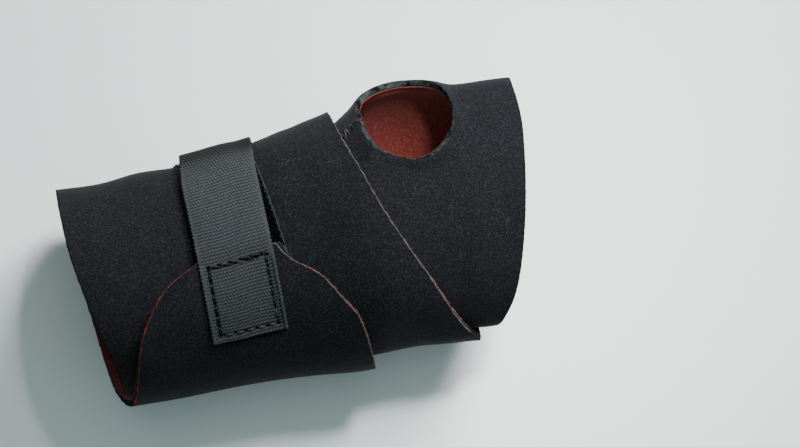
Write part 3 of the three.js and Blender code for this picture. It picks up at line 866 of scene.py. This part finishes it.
def wrap_dist(angle):
    return read(WRAP_DIST, angle) + ragged(angle, 4.0, 0.16)


def flap_prox_line(angle):
    return read(flap_prox, angle)


def flap_dist_line(angle):
    return read(flap_dist, angle)


def wrap_edge_look(angle, x):
    """The distal edge is frayed, with a light line that is partly painted highlight, and the proximal rim,
    the ulnar end and the hidden start are dark.
    """
    return np.where((np.asarray(x) > 0) & (np.asarray(angle) < 163), 1, 2)


def lining_shade_look(angle, x):
    """Painted shade: the lining's edge takes the dark look where the wrap ends beside the little finger."""
    return np.where((np.asarray(angle) > 154) & (np.asarray(x) > 0), 1, 0)


def build_wrap():
    ends = {"free": (False, True)}
    cut = Pattern(bends(SPLIT - 360, WRAP_START, 2.0, **ends), wrap_prox, wrap_dist, 56, **ends)
    foam = shell(
        "wrist_wrap_foam",
        cut,
        raised(wrap_off, LINING),
        raised(wrap_off, CLOTH),
        [NEOPRENE, FRAYED_EDGE_AND_HIGHLIGHT, DARK_EDGE_AND_SHADE],
        wrap_edge_look,
        wall=(0.2, 0.5, 0.88),
        core=2,
    )
    lining = shell(
        "wrist_wrap_lining_cloth",
        Pattern(bends(SPLIT - 360, WRAP_START, 3.0, **ends), wrap_prox, wrap_dist, 40, **ends),
        wrap_off,
        raised(wrap_off, LINING - 0.02),
        [LINING_LOOK, DARK_EDGE_AND_SHADE],
        lining_shade_look,
    )
    # painted shade: the lining's faces at the little finger's end of the wrap take the dark look
    for face in lining.data.polygons:
        if face.center.x > 44 * MM and face.center.y < -40 * MM:
            face.material_index = 1
    settle(foam, "neoprene", "wrist_wrap", padded=True)
    settle(lining, "lining", "wrist_wrap_lining", padded=True)


def bend_at_fold(piece):
    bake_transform(piece)


def flap_edge_look(angle, x):
    """The edges over the palm are frayed, with a light line that is partly painted highlight, redder towards
    the forearm, and its rim behind the fold is dark.
    """
    on_palm_side = np.where(np.asarray(x) < STRAP_MIDDLE, 3, 1)
    return np.where(np.asarray(angle) < 168, on_palm_side, np.where(np.asarray(x) > 0, 1, 2))


def build_flap():
    angles = bends(FLAP_END, SPLIT, 1.4, free=(True, False))
    cut = Pattern(
        angles,
        lambda a: flap_prox_line(a) + ragged(a, 6.0, 0.14),
        lambda a: flap_dist_line(a) + ragged(a, 8.0, 0.14),
        56,
        free=(True, False),
    )
    to_distal = np.maximum(flap_dist_line(cut.angle) - cut.x, 0)
    bevel = 1.7 * hump(cut.angle, FLAP_END + 2, 7) * hump(to_distal, 0, 1.6)
    cut.inner = (cut.angle, cut.x + bevel)
    curl = lambda a, x: 0.5 * hump(a, FLAP_END, 5) * ease(np.abs(x - STRAP_MIDDLE), 11, 17)
    inner = lambda a, x: flap_off(a, x) + curl(a, x)
    foam = shell(
        "closing_flap_foam",
        cut,
        raised(inner, LINING),
        raised(inner, CLOTH),
        [NEOPRENE, FRAYED_EDGE_AND_HIGHLIGHT, DARK_EDGE_AND_SHADE, RED_EDGE],
        flap_edge_look,
        wall=(0.09, 0.5, 0.9),
        core=2,
    )
    top = raised(inner, LINING - 0.02)
    lining = shell("closing_flap_lining_cloth", under_face(cut), inner, top, [LINING_LOOK])
    settle(foam, "neoprene", "closing_flap", bend=bend_at_fold, padded=True)
    settle(lining, "lining", "closing_flap_lining", bend=bend_at_fold, padded=True)


build_wrap()
build_flap()


# ---- Loose fibres along the cut edges ----
def fibres(angles, xs, off, outward, per_mm, longest, red_share):
    """Short bent fibres of the lining and the face that stand out of a cut edge, outward (1, -1) along x."""
    angles, xs = np.asarray(angles, float), np.asarray(xs, float)
    base = place(xs, angles, off(angles, xs) + undulation(xs, angles)) / MM
    far = np.concatenate([[0], np.cumsum(np.linalg.norm(np.diff(base, axis=0), axis=1))])
    made, looks = [], []
    for _ in range(int(far[-1] * per_mm)):
        s = RNG.uniform(0, far[-1])
        a, x = np.interp(s, far, angles), np.interp(s, far, xs)
        red = RNG.random() < red_share
        share = RNG.uniform(0.05, 0.3) if red else RNG.uniform(0.75, 1.0)
        height = float(off(np.array(a), np.array(x)) + undulation(x, a)) + CLOTH * share
        root = place(x - outward * 0.1, a, height) / MM
        tip = place(x + outward * 1.0, a + RNG.normal(0, 1.0), height + RNG.normal(0, 0.5)) / MM
        heading = tip - root
        heading /= np.linalg.norm(heading)
        length = longest * RNG.uniform(0.25, 1.0) * (1.0 if red else 0.55)
        bend = RNG.normal(0, 0.35, 3)
        side = np.cross(heading, (0.2, 0.4, 0.9))
        side /= np.linalg.norm(side)
        other = np.cross(heading, side)
        thick = 0.055 if red else 0.045
        rings = []
        for t in (0, 0.4, 0.75, 1.0):
            centre = root + heading * length * t + bend * length * t * t
            rings.append(circle(centre, side, other, thick * (1 - 0.75 * t), (0, 2.1, 4.2)))
        made.append(tube(rings))
        looks += [0 if red else 1] * len(made[-1][1])
    return *join(*made), looks


def fibre_piece(name, *strips):
    points, faces = join(*(strip[:2] for strip in strips))
    looks = [look for strip in strips for look in strip[2]]
    return new_object(name, points, faces, [RED_FIBRE, PINK_FIBRE], looks)


def build_fibres():
    a = np.arange(4, 178, 1.0)
    fluff = fibre_piece("wrap_edge_fibres", fibres(a, wrap_dist(a), wrap_off, 1, 2.6, 0.75, 0.5))
    settle(fluff, "lining")
    b = np.arange(FLAP_END + 0.5, 176, 1.0)
    distal = fibres(b, flap_dist_line(b), flap_off, 1, 3.2, 0.95, 0.6)
    proximal = fibres(b, flap_prox_line(b), flap_off, -1, 3.2, 0.8, 0.7)
    settle(fibre_piece("flap_edge_fibres", distal, proximal), "lining", bend=bend_at_fold)


build_fibres()

# ---- The strap ----
YARN_ACROSS, YARN_ALONG = 1.1, 1.15
SELVEDGE_WIDTH = 1.3
WEAVE_HEIGHT = 0.22
GRID = 0.22  # the mesh's step along and across the webbing
SPAN_SPLIT = 47.0  # angle where the strap's sewn piece meets its tail piece, near the thumb side


def strap_across(angle, x):
    """Millimetres from the strap's middle line."""
    return np.asarray(x) - strap_middle(np.asarray(angle))


BOX_SIDE = STRAP_WIDTH / 2 - STITCH_IN["side"]
BOX_TOP = arc(PEEL_ANGLE) + STITCH_IN["top"]
BOX_END = arc(ROOT_ANGLE) - STITCH_IN["end"]
STITCH_PITCH, STITCH_LENGTH = 4.0, 3.0
TOP_ROWS = 0.4  # half the distance between the two staggered rows at the top
HOLE_RADIUS = 0.42


def box_lines():
    """The stitched lines: (round, across) ends in millimetres, the stagger and the share of stitches drawn in
    pale thread as a painted highlight, low on the sides, whose stitches lie in shaded grooves.
    """
    rows = []
    for k in (-1, 1):
        top = BOX_TOP + k * TOP_ROWS
        rows.append(((top, -BOX_SIDE), (top, BOX_SIDE), k + 1.0, 0.55))
    rows.append(((BOX_TOP, BOX_SIDE), (BOX_END, BOX_SIDE), 0.0, 0.25))
    rows.append(((BOX_END, BOX_SIDE), (BOX_END, -BOX_SIDE), 0.0, 0.9))
    rows.append(((BOX_END, -BOX_SIDE), (BOX_TOP, -BOX_SIDE), 0.0, 0.1))
    return rows


def needle_holes():
    """Where the box stitch goes through the webbing, as (round, across) in millimetres."""
    holes = []
    for (s0, u0), (s1, u1), stagger, _ in box_lines():
        length = math.hypot(s1 - s0, u1 - u0)
        for t in np.arange(STITCH_PITCH / 2 + stagger, length, STITCH_PITCH):
            for end in (-STITCH_PITCH / 2, STITCH_PITCH / 2):
                share = (t + end) / length
                holes.append((s0 + (s1 - s0) * share, u0 + (u1 - u0) * share))
    return np.array(holes)


HOLES = needle_holes()


def near_holes(angle, x):
    """1 at a needle hole of the box stitch, and a weaker groove along its lines."""
    s, u = arc(angle), strap_across(angle, x)
    dip = np.zeros_like(s)
    for hole in HOLES:
        dip = np.maximum(dip, np.exp(-(((s - hole[0]) ** 2 + (u - hole[1]) ** 2) / HOLE_RADIUS**2) ** 1.5))
    inside = (s > BOX_TOP - 0.9) & (s < BOX_END + 0.6) & (np.abs(u) < BOX_SIDE + 0.9)
    rows = 0.35 * hump(np.minimum(np.abs(s - BOX_TOP), np.abs(s - BOX_END)), 0, 0.55)
    uneven = 0.75 + 0.25 * np.sin(np.pi * s + np.sign(u))
    sides = hump(np.abs(u), BOX_SIDE, 0.5) * uneven * np.where(u < 0, 1.0, 0.55)
    outside = 0.5 * hump(u, BOX_SIDE + 1.8, 0.35) * ease(s, BOX_TOP - 1, BOX_TOP + 4) * uneven
    return dip, np.maximum(np.maximum(rows, sides) * inside, outside)


def weave(angle, x):
    """Height of the webbing's yarns, from 0 in a gap to 1 on a crown."""
    s, u = arc(angle), strap_across(angle, x)
    skew = s + 0.035 * u + 0.12 * np.sin(u / 2.3)
    column, row = np.cos(2 * np.pi * u / YARN_ACROSS), np.cos(2 * np.pi * skew / YARN_ALONG)
    grid = np.clip(0.5 + 0.23 * row + 0.24 * column * np.cos(np.pi * skew / YARN_ALONG), 0, 1)
    beads = 0.42 + 0.25 * np.abs(np.cos(np.pi * skew / YARN_ALONG + 0.6))
    at_edge = ease(np.abs(u), STRAP_WIDTH / 2 - SELVEDGE_WIDTH - 0.1, STRAP_WIDTH / 2 - SELVEDGE_WIDTH + 0.1)
    return grid * (1 - at_edge) + beads * at_edge


def strap_lift(angle, x):
    """The strap's own small bends: edges that turn down, and margins that rise outside the box stitch."""
    s, u = arc(angle), strap_across(angle, x)
    edge = -0.25 * (np.abs(u) / (STRAP_WIDTH / 2)) ** 4
    sewn = ease(s, BOX_TOP - 2, BOX_TOP + 1)
    margin = 0.35 * ease(np.abs(u), BOX_SIDE, STRAP_WIDTH / 2) * sewn + 0.25 * ease(s, BOX_END, BOX_END + 2.5)
    ripple = 0.1 * np.sin(s / 6.1 + 0.8) * (1 - sewn)
    return edge + margin + ripple


def strap_outer(angle, x):
    dip, groove = near_holes(angle, x)
    yarn = WEAVE_HEIGHT * (weave(angle, x) - 1)
    return strap_off(angle, x) + STRAP_THICK + strap_lift(angle, x) + yarn - 0.5 * groove - 0.6 * dip


def strap_inner(angle, x):
    return strap_off(angle, x) + strap_lift(angle, x) + 0.02


def strap_painted_shade(angle, x):
    """The depth that the webbing's look reads, as painted shade: the weave's gaps, the needle holes and
    stitch grooves, and more where the strap turns away from the light at the thumb side.
    """
    dip, groove = near_holes(angle, x)
    # painted shade where the strap turns away from the light
    turned = 0.5 * hump(np.asarray(angle), 10, 13)
    return np.clip(1 - weave(angle, x) + turned + np.maximum(1.1 * dip, 0.9 * groove), 0, 1)


class StrapPattern(Pattern):
    """A band along the strap with a fine even grid, for its weave."""

    def __init__(self, start, end, free):
        s = np.append(np.arange(arc(start), arc(end), GRID), arc(end))
        fine = EDGE_STEPS[:4]
        if free[0]:
            s = np.concatenate([s[0] + fine, s[s > s[0] + 0.5]])
        if free[1]:
            s = np.concatenate([s[s < s[-1] - 0.5], s[-1] - fine[::-1]])
        angles = angle_at(s)
        half = STRAP_WIDTH / 2
        inside = np.linspace(-half + 0.5, half - 0.5, int((STRAP_WIDTH - 1) / GRID) + 1)
        u = np.concatenate([-half + fine, inside, half - fine[::-1]])
        self.n, self.m, self.closed = len(angles), len(u), False
        teeth = np.cos(2 * np.pi * s / 1.3)[:, None]
        scallop = teeth * (np.where(u < 0, -0.2, 0.13) * (np.abs(u) > half - 0.5))[None, :]
        narrowed = 1 - 0.035 * (1 - ease(angles, 8, 45))[:, None]
        xs = strap_middle(angles)[:, None] + u[None, :] * narrowed + scallop
        self.angle, self.x = np.repeat(angles, self.m), xs.ravel()
        self.edge = np.tile(half - np.abs(u), (self.n, 1))
        if free[0]:
            self.edge = np.minimum(self.edge, (s - s[0])[:, None])
        if free[1]:
            self.edge = np.minimum(self.edge, (s[-1] - s)[:, None])
        self.edge = self.edge.ravel()
        self.inner, self.lift = (self.angle, self.x), 0.0
        self.quads = [self.quad(i, j) for i in range(self.n - 1) for j in range(self.m - 1)]


def bend_at_shoulder(piece):
    """Bakes the piece's place into its points. The points 4 degrees either side of the shoulder are found but
    not used, and the piece is not bent.
    """
    before, after = (place(STRAP_MIDDLE, SHOULDER + turn, 8.0) for turn in (4, -4))
    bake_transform(piece)


def build_strap():
    edges = {"wall": (0.5,), "recess": 0.05, "soft": 0.35}
    base, tail = (
        shell(name, StrapPattern(*ends), strap_inner, strap_outer, [WEBBING], depth=strap_painted_shade, **edges)
        for name, ends in (
            ("strap_webbing", (SPAN_SPLIT, ROOT_ANGLE, (False, True))),
            ("strap_tail_webbing", (TAIL_END, SPAN_SPLIT, (True, False))),
        )
    )
    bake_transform(base)
    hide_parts("strap_root", "strap_span")
    bend_at_shoulder(tail)
    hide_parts("strap_tail")
    for piece, round_ends in ((base, (SPAN_SPLIT, ROOT_ANGLE)), (tail, (TAIL_END, SPAN_SPLIT))):
        length = float(arc(round_ends[1]) - arc(round_ends[0])) * MM


build_strap()

FACES_OF_A_STITCH = 7 * 8 + 2  # seven sides between nine rings, and two ends


def build_box_stitch():
    made, pale = [], []
    top = lambda a, x: strap_off(a, x) + STRAP_THICK + strap_lift(a, x) - 0.3
    for (s0, u0), (s1, u1), stagger, highlight_share in box_lines():
        angles = angle_at(np.linspace(s0, s1, 40))
        xs = strap_middle(angles) + np.linspace(u0, u1, 40)
        points, normals = over(angles, xs, top)
        line = thread_line(points, normals, STITCH_PITCH, STITCH_LENGTH, 0.34, sink=0.02, stagger=stagger)
        made.append(line)
        stitches = len(line[1]) // FACES_OF_A_STITCH
        # painted highlight: a share of the stitches take the pale thread look
        pale.append(np.repeat(RNG.random(stitches) < highlight_share, FACES_OF_A_STITCH))
    looks = np.concatenate(pale).astype(int)
    piece = new_object("strap_box_thread", *join(*made), [THREAD, THREAD_HIGHLIGHT], looks)
    settle(piece, "thread", "strap_box_stitching", body="flap")


build_box_stitch()


# ---- Hook pad and loop patch ----
PATCH_FROM, PATCH_TO, PATCH_AHEAD, PATCH_LEAN = -50.0, FLAP_END + 6, 4.9, 0.06
PILE_TO = FLAP_END - 0.8  # the loops stop under the flap's tip
LOOPS, LOOP_THREAD, GLINTS = 2600, 0.065, 0.13  # how many, their thickness, the share of paler ones
HOOK_STEPS = ((0, 0), (0, -0.28), (0.1, -0.42), (0.28, -0.4), (0.34, -0.28))  # a hook's line: ahead, out
HOOK_THREAD, HOOK_ROWS, HOOK_COLUMNS = 0.07, 1.15, 0.95  # thickness, and distances between hooks
ON_WRAP = raised(wrap_off, CLOTH)
FINE_THREAD = {"sink": 0.0, "rings": 7, "sides": 6}


def patch_middle(angle):
    return STRAP_MIDDLE + PATCH_AHEAD - PATCH_LEAN * (FLAP_END - 3 - np.asarray(angle, float))


def build_patch():
    cut = Pattern(
        bends(PATCH_FROM, PATCH_TO, 2.0),
        lambda a: patch_middle(a) - LOOP_WIDTH / 2,
        lambda a: patch_middle(a) + LOOP_WIDTH / 2,
        18,
    )
    top = lambda a, x: ON_WRAP(a, x) + 0.5 - 0.28 * ease(a, PILE_TO, PILE_TO + 1)
    selvedge = lambda a, x: 1 + 0 * np.asarray(x, int)
    looks, edges = [LOOP, SELVEDGE], {"wall": (0.5,), "recess": 0.02, "soft": 0.25}
    base = shell("loop_patch_tape", cut, raised(ON_WRAP, 0.02), top, looks, selvedge, **edges)
    settle(base, "loop_tape", "loop_patch")
    length = float(arc(PATCH_TO) - arc(PATCH_FROM)) * MM
    made, glints = [], []
    for _ in range(LOOPS):
        a = RNG.uniform(PATCH_FROM + 1.5, PILE_TO)
        x = float(patch_middle(a)) + RNG.uniform(-0.5, 0.5) * (LOOP_WIDTH - 2.2)
        heading, size = RNG.uniform(0, 2 * math.pi), RNG.uniform(0.4, 0.95)
        root, normal = over(a, x, raised(ON_WRAP, 0.42))
        along = np.array([math.cos(heading), math.sin(heading), 0])
        along -= normal * (along @ normal)
        along /= np.linalg.norm(along) + 1e-9
        side = np.cross(normal, along)
        rings = []
        for t in np.linspace(0, math.pi, 6):
            centre = root / MM + along * size * 0.6 * -math.cos(t) + normal * size * 0.75 * math.sin(t)
            spoke = -along * math.cos(t) + normal * math.sin(t)
            rings.append(circle(centre, spoke, side, LOOP_THREAD, (4.7, 2.6, 0.5)))
        made.append(tube(rings))
        glints += [int(RNG.random() < GLINTS)] * len(made[-1][1])
    settle(new_object("loop_patch_pile", *join(*made), [LOOP, GLINT], glints), "loop_tape")
    angles = np.linspace(PATCH_FROM + 1, PILE_TO, 120)
    lines = []
    for side in (-1, 1):
        xs = patch_middle(angles) + side * (LOOP_WIDTH / 2 - 0.9)
        points, normals = over(angles, xs, raised(ON_WRAP, 0.5))
        lines.append(thread_line(points, normals, 2.6, 2.0, 0.2, **FINE_THREAD))
    settle(new_object("loop_patch_thread", *join(*lines), [THREAD]), "thread")


def build_hook_pad():
    start, end = TAIL_END + 2, SHOULDER - 5
    under_strap = lambda a, x: strap_off(a, x) + strap_lift(a, x)
    cut = Pattern(
        bends(start, end, 2.0),
        lambda a: strap_middle(a) - HOOK_WIDTH / 2,
        lambda a: strap_middle(a) + HOOK_WIDTH / 2,
        14,
    )
    edges = {"wall": (0.5,), "recess": 0.02, "soft": 0.15}
    pad = shell("hook_pad_tape", cut, raised(under_strap, -0.4), raised(under_strap, -0.01), [HOOK], **edges)
    settle(pad, "hook_tape", "hook_pad", bend=bend_at_shoulder)
    length = float(arc(end) - arc(start)) * MM
    made = []
    for s in np.arange(arc(start) + 1.2, arc(end) - 1, HOOK_ROWS):
        a = float(angle_at(s))
        for u in np.arange(-HOOK_WIDTH / 2 + 1.2, HOOK_WIDTH / 2 - 1, HOOK_COLUMNS):
            x = float(strap_middle(np.array(a))) + u
            root, normal = over(a, x, raised(under_strap, -0.38))
            ahead = place(x, a + 1, 8.0) - place(x, a, 8.0)
            ahead /= np.linalg.norm(ahead)
            side = np.cross(normal, ahead)
            rings = []
            for forward, out in HOOK_STEPS:
                centre = root / MM + ahead * forward + normal * out
                rings.append(circle(centre, ahead, side, HOOK_THREAD, (5.5, 3.9, 2.4, 0.8)))
            made.append(tube(rings))
    settle(new_object("hook_pad_hooks", *join(*made), [HOOK]), "hook_tape", bend=bend_at_shoulder)


build_patch()
build_hook_pad()


# ---- Seams ----
def zigzag(start, end, width, steps):
    """Points of a zigzag from one (angle, x) to another, width across in degrees."""
    t = np.linspace(0, 1, steps)
    side = np.where(np.arange(steps) % 2 == 0, -0.5, 0.5) * width
    return start[0] + (end[0] - start[0]) * t + side, start[1] + (end[1] - start[1]) * t


def build_thumb_seam():
    """The cuff's ends meet edge to edge under a zigzag of thread, from the thumb hole back under the wrap."""
    face = level(CLOTH + 0.05)
    angle, x = hole_outline()[np.argmin(np.abs(HOLE_BEARINGS - SEAM_BEARING))]
    angles, xs = zigzag((angle + 5.0, x - 7.4), (angle - 0.2, x + 1.2), 9.5, 10)
    made = []
    for k in range(len(xs) - 1):
        points, normals = over(np.linspace(*angles[k : k + 2], 8), np.linspace(*xs[k : k + 2], 8), face)
        length = float(np.linalg.norm(np.diff(points, axis=0), axis=1).sum()) / MM
        made.append(thread_line(points, normals, length, length * 0.98, 0.4, **FINE_THREAD))
    # painted highlight: half the stitches take the pale thread look
    pale = np.repeat(RNG.random(len(made)) < 0.5, len(made[0][1])).astype(int)
    piece = new_object("thumb_seam_thread", *join(*made), [THREAD, THREAD_HIGHLIGHT], pale)
    settle(piece, "thread", "thumb_seam_stitching")
    # painted highlight: a fine line of stitches in the pale thread look beside the zigzag
    t = np.linspace(0, 1, 40)
    points, normals = over(angle + 8.0 - 7.5 * t + 0.5 * np.sin(9 * t), x - 10.5 + 9.8 * t, face)
    line = thread_line(points, normals, 2.2, 2.05, 0.16, **FINE_THREAD)
    settle(new_object("thumb_seam_painted_highlight_thread", *line, [THREAD_HIGHLIGHT]), "thread")


def build_wrap_seam():
    """Two rows of stitches that hold the wrap's start to the cuff, on the back near the ulnar edge."""
    made = []
    x = np.linspace(24, 60, 80)
    for angle in (206.4, 208.6):
        points, normals = over(angle, x, raised(ON_WRAP, 0.02))
        made.append(thread_line(points, normals, 3.2, 2.6, 0.25, sink=0.03))
    settle(new_object("wrap_seam_thread", *join(*made), [THREAD]), "thread", "wrap_seam_stitching")


build_thumb_seam()
build_wrap_seam()


# ---- Stay and pocket ----
def bake(obj):
    """Applies an object's modifiers."""
    bpy.context.view_layer.update()
    made = bpy.data.meshes.new_from_object(obj.evaluated_get(bpy.context.evaluated_depsgraph_get()))
    old = obj.data
    obj.modifiers.clear()
    obj.data = made
    bpy.data.meshes.remove(old)
    obj.data.polygons.foreach_set("use_smooth", np.ones(len(obj.data.polygons), bool))
    obj.data.set_sharp_from_angle(angle=SHARP)


def rounded_part(name, node, look, bevel):
    """A CAD node's own shape with rounded edges, for a metal or dipped piece."""
    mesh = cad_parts[node].data.copy()
    mesh.name = name
    mesh.materials.clear()
    mesh.materials.append(look)
    obj = linked(name, mesh)
    rounded = obj.modifiers.new("edges", "BEVEL")
    rounded.width = bevel * MM
    rounded.segments = 3
    rounded.limit_method = "ANGLE"
    rounded.angle_limit = math.radians(30)
    bake(obj)
    return obj


def build_stay():
    blade = rounded_part("stay_blade_metal", "stay_blade", ALUMINIUM, 0.25)
    settle(blade, "aluminium", "stay_blade", body="stay")
    for node in ("stay_tip_proximal", "stay_tip_distal"):
        settle(rounded_part(node + "_cap", node, VINYL, 0.45), "vinyl", node, body="stay")


def build_pocket():
    piece = rounded_part("stay_pocket_cloth", "stay_pocket", POCKET, 0.2)
    settle(piece, "pocket_cloth", "stay_pocket")
    low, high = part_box("stay_pocket")
    low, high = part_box("pocket_stitching")
    z = high.z - 0.1 * MM
    corners = [(low.x, low.y), (high.x, low.y), (high.x, high.y), (low.x, high.y)]
    down = np.tile([0.0, 0.0, -1.0], (60, 1))
    made = []
    for (x0, y0), (x1, y1) in zip(corners, corners[1:]):
        t = np.linspace(0, 1, 60)
        line = np.stack([x0 + (x1 - x0) * t, y0 + (y1 - y0) * t, z + 0 * t], 1)
        made.append(thread_line(line, down, 3.0, 2.4, 0.24, sink=0.0))
    settle(new_object("stay_pocket_thread", *join(*made), [THREAD]), "thread", "pocket_stitching")


build_stay()
build_pocket()


# ---- Floor, light and camera ----
FLOOR_HALF, FLOOR_TOP = 1.6, -0.0006
SPLINT = (0, 0, 0.03)  # what the lights look at


def build_stage():
    h = FLOOR_HALF
    mesh = bpy.data.meshes.new("floor")
    mesh.from_pydata([(-h, -h, 0), (h, -h, 0), (h, h, 0), (-h, h, 0)], [], [(0, 1, 2, 3)])
    floor = linked("floor", mesh)
    look = Look("pale_floor", Roughness=0.9)
    tone = look.noise(look.position(), 3.0)
    look.link(look.ramp(tone, [(0.3, (0.86, 0.93, 0.915)), (0.7, (0.89, 0.96, 0.945))]), "Base Color")
    mesh.materials.append(look.material)
    floor.location.z = FLOOR_TOP


def lamp(name, data, place_at, aim, power):
    data.energy = power
    light = linked(name, data)
    light.location = place_at
    light.rotation_euler = (Vector(aim) - light.location).to_track_quat("-Z", "Y").to_euler()


def area_light(name, place_at, size, power, colour):
    data = bpy.data.lights.new(name, "AREA")
    data.shape = "RECTANGLE"
    data.size, data.size_y = size
    data.color = colour
    lamp(name, data, place_at, SPLINT, power)


def build_lights():
    """A key light at the upper right, a weak one above, a spot on the palm and a greenish sky."""
    area_light("key", (0.85, 1.0, 0.88), (0.7, 0.6), 60, (1.0, 0.885, 0.935))
    area_light("top", (0.0, 0.3, 1.7), (1.2, 1.0), 3, (0.97, 0.98, 1.0))
    spot = bpy.data.lights.new("hand", "SPOT")
    spot.spot_size, spot.spot_blend, spot.shadow_soft_size = math.radians(15), 1.0, 0.12
    lamp("hand", spot, (0.4, 0.55, 0.95), (0.09, -0.002, 0.04), 100)
    world = bpy.data.worlds.new("studio")
    bpy.context.scene.world = world
    world.use_nodes = True
    sky = world.node_tree.nodes["Background"].inputs
    sky[0].default_value = (0.74, 1.0, 0.99, 1)
    sky[1].default_value = 0.3


def build_camera():
    """Over the palm, tilted a little to the forearm and the ulnar side, with the arm turned 13 degrees."""
    distance, field = 2.0, 0.2904
    aim = Vector((0.0335, -0.0002, 0.05))
    lean_back, lean_down, turn = (math.radians(v) for v in (4.0, -0.4, 13.0))
    away = Vector((-math.sin(lean_back), -math.sin(lean_down), 1)).normalized()
    data = bpy.data.cameras.new("camera")
    data.sensor_width = 36
    data.lens = 36 * distance / field
    data.clip_start, data.clip_end = 0.1, 20
    camera = linked("camera", data)
    camera.location = aim + away * distance
    right = Vector((math.cos(turn), -math.sin(turn), 0))
    right = (right - away * right.dot(away)).normalized()
    up = away.cross(right)
    camera.rotation_euler = Matrix((right, up, away)).transposed().to_euler()
    bpy.context.scene.camera = camera


build_stage()
build_lights()
build_camera()
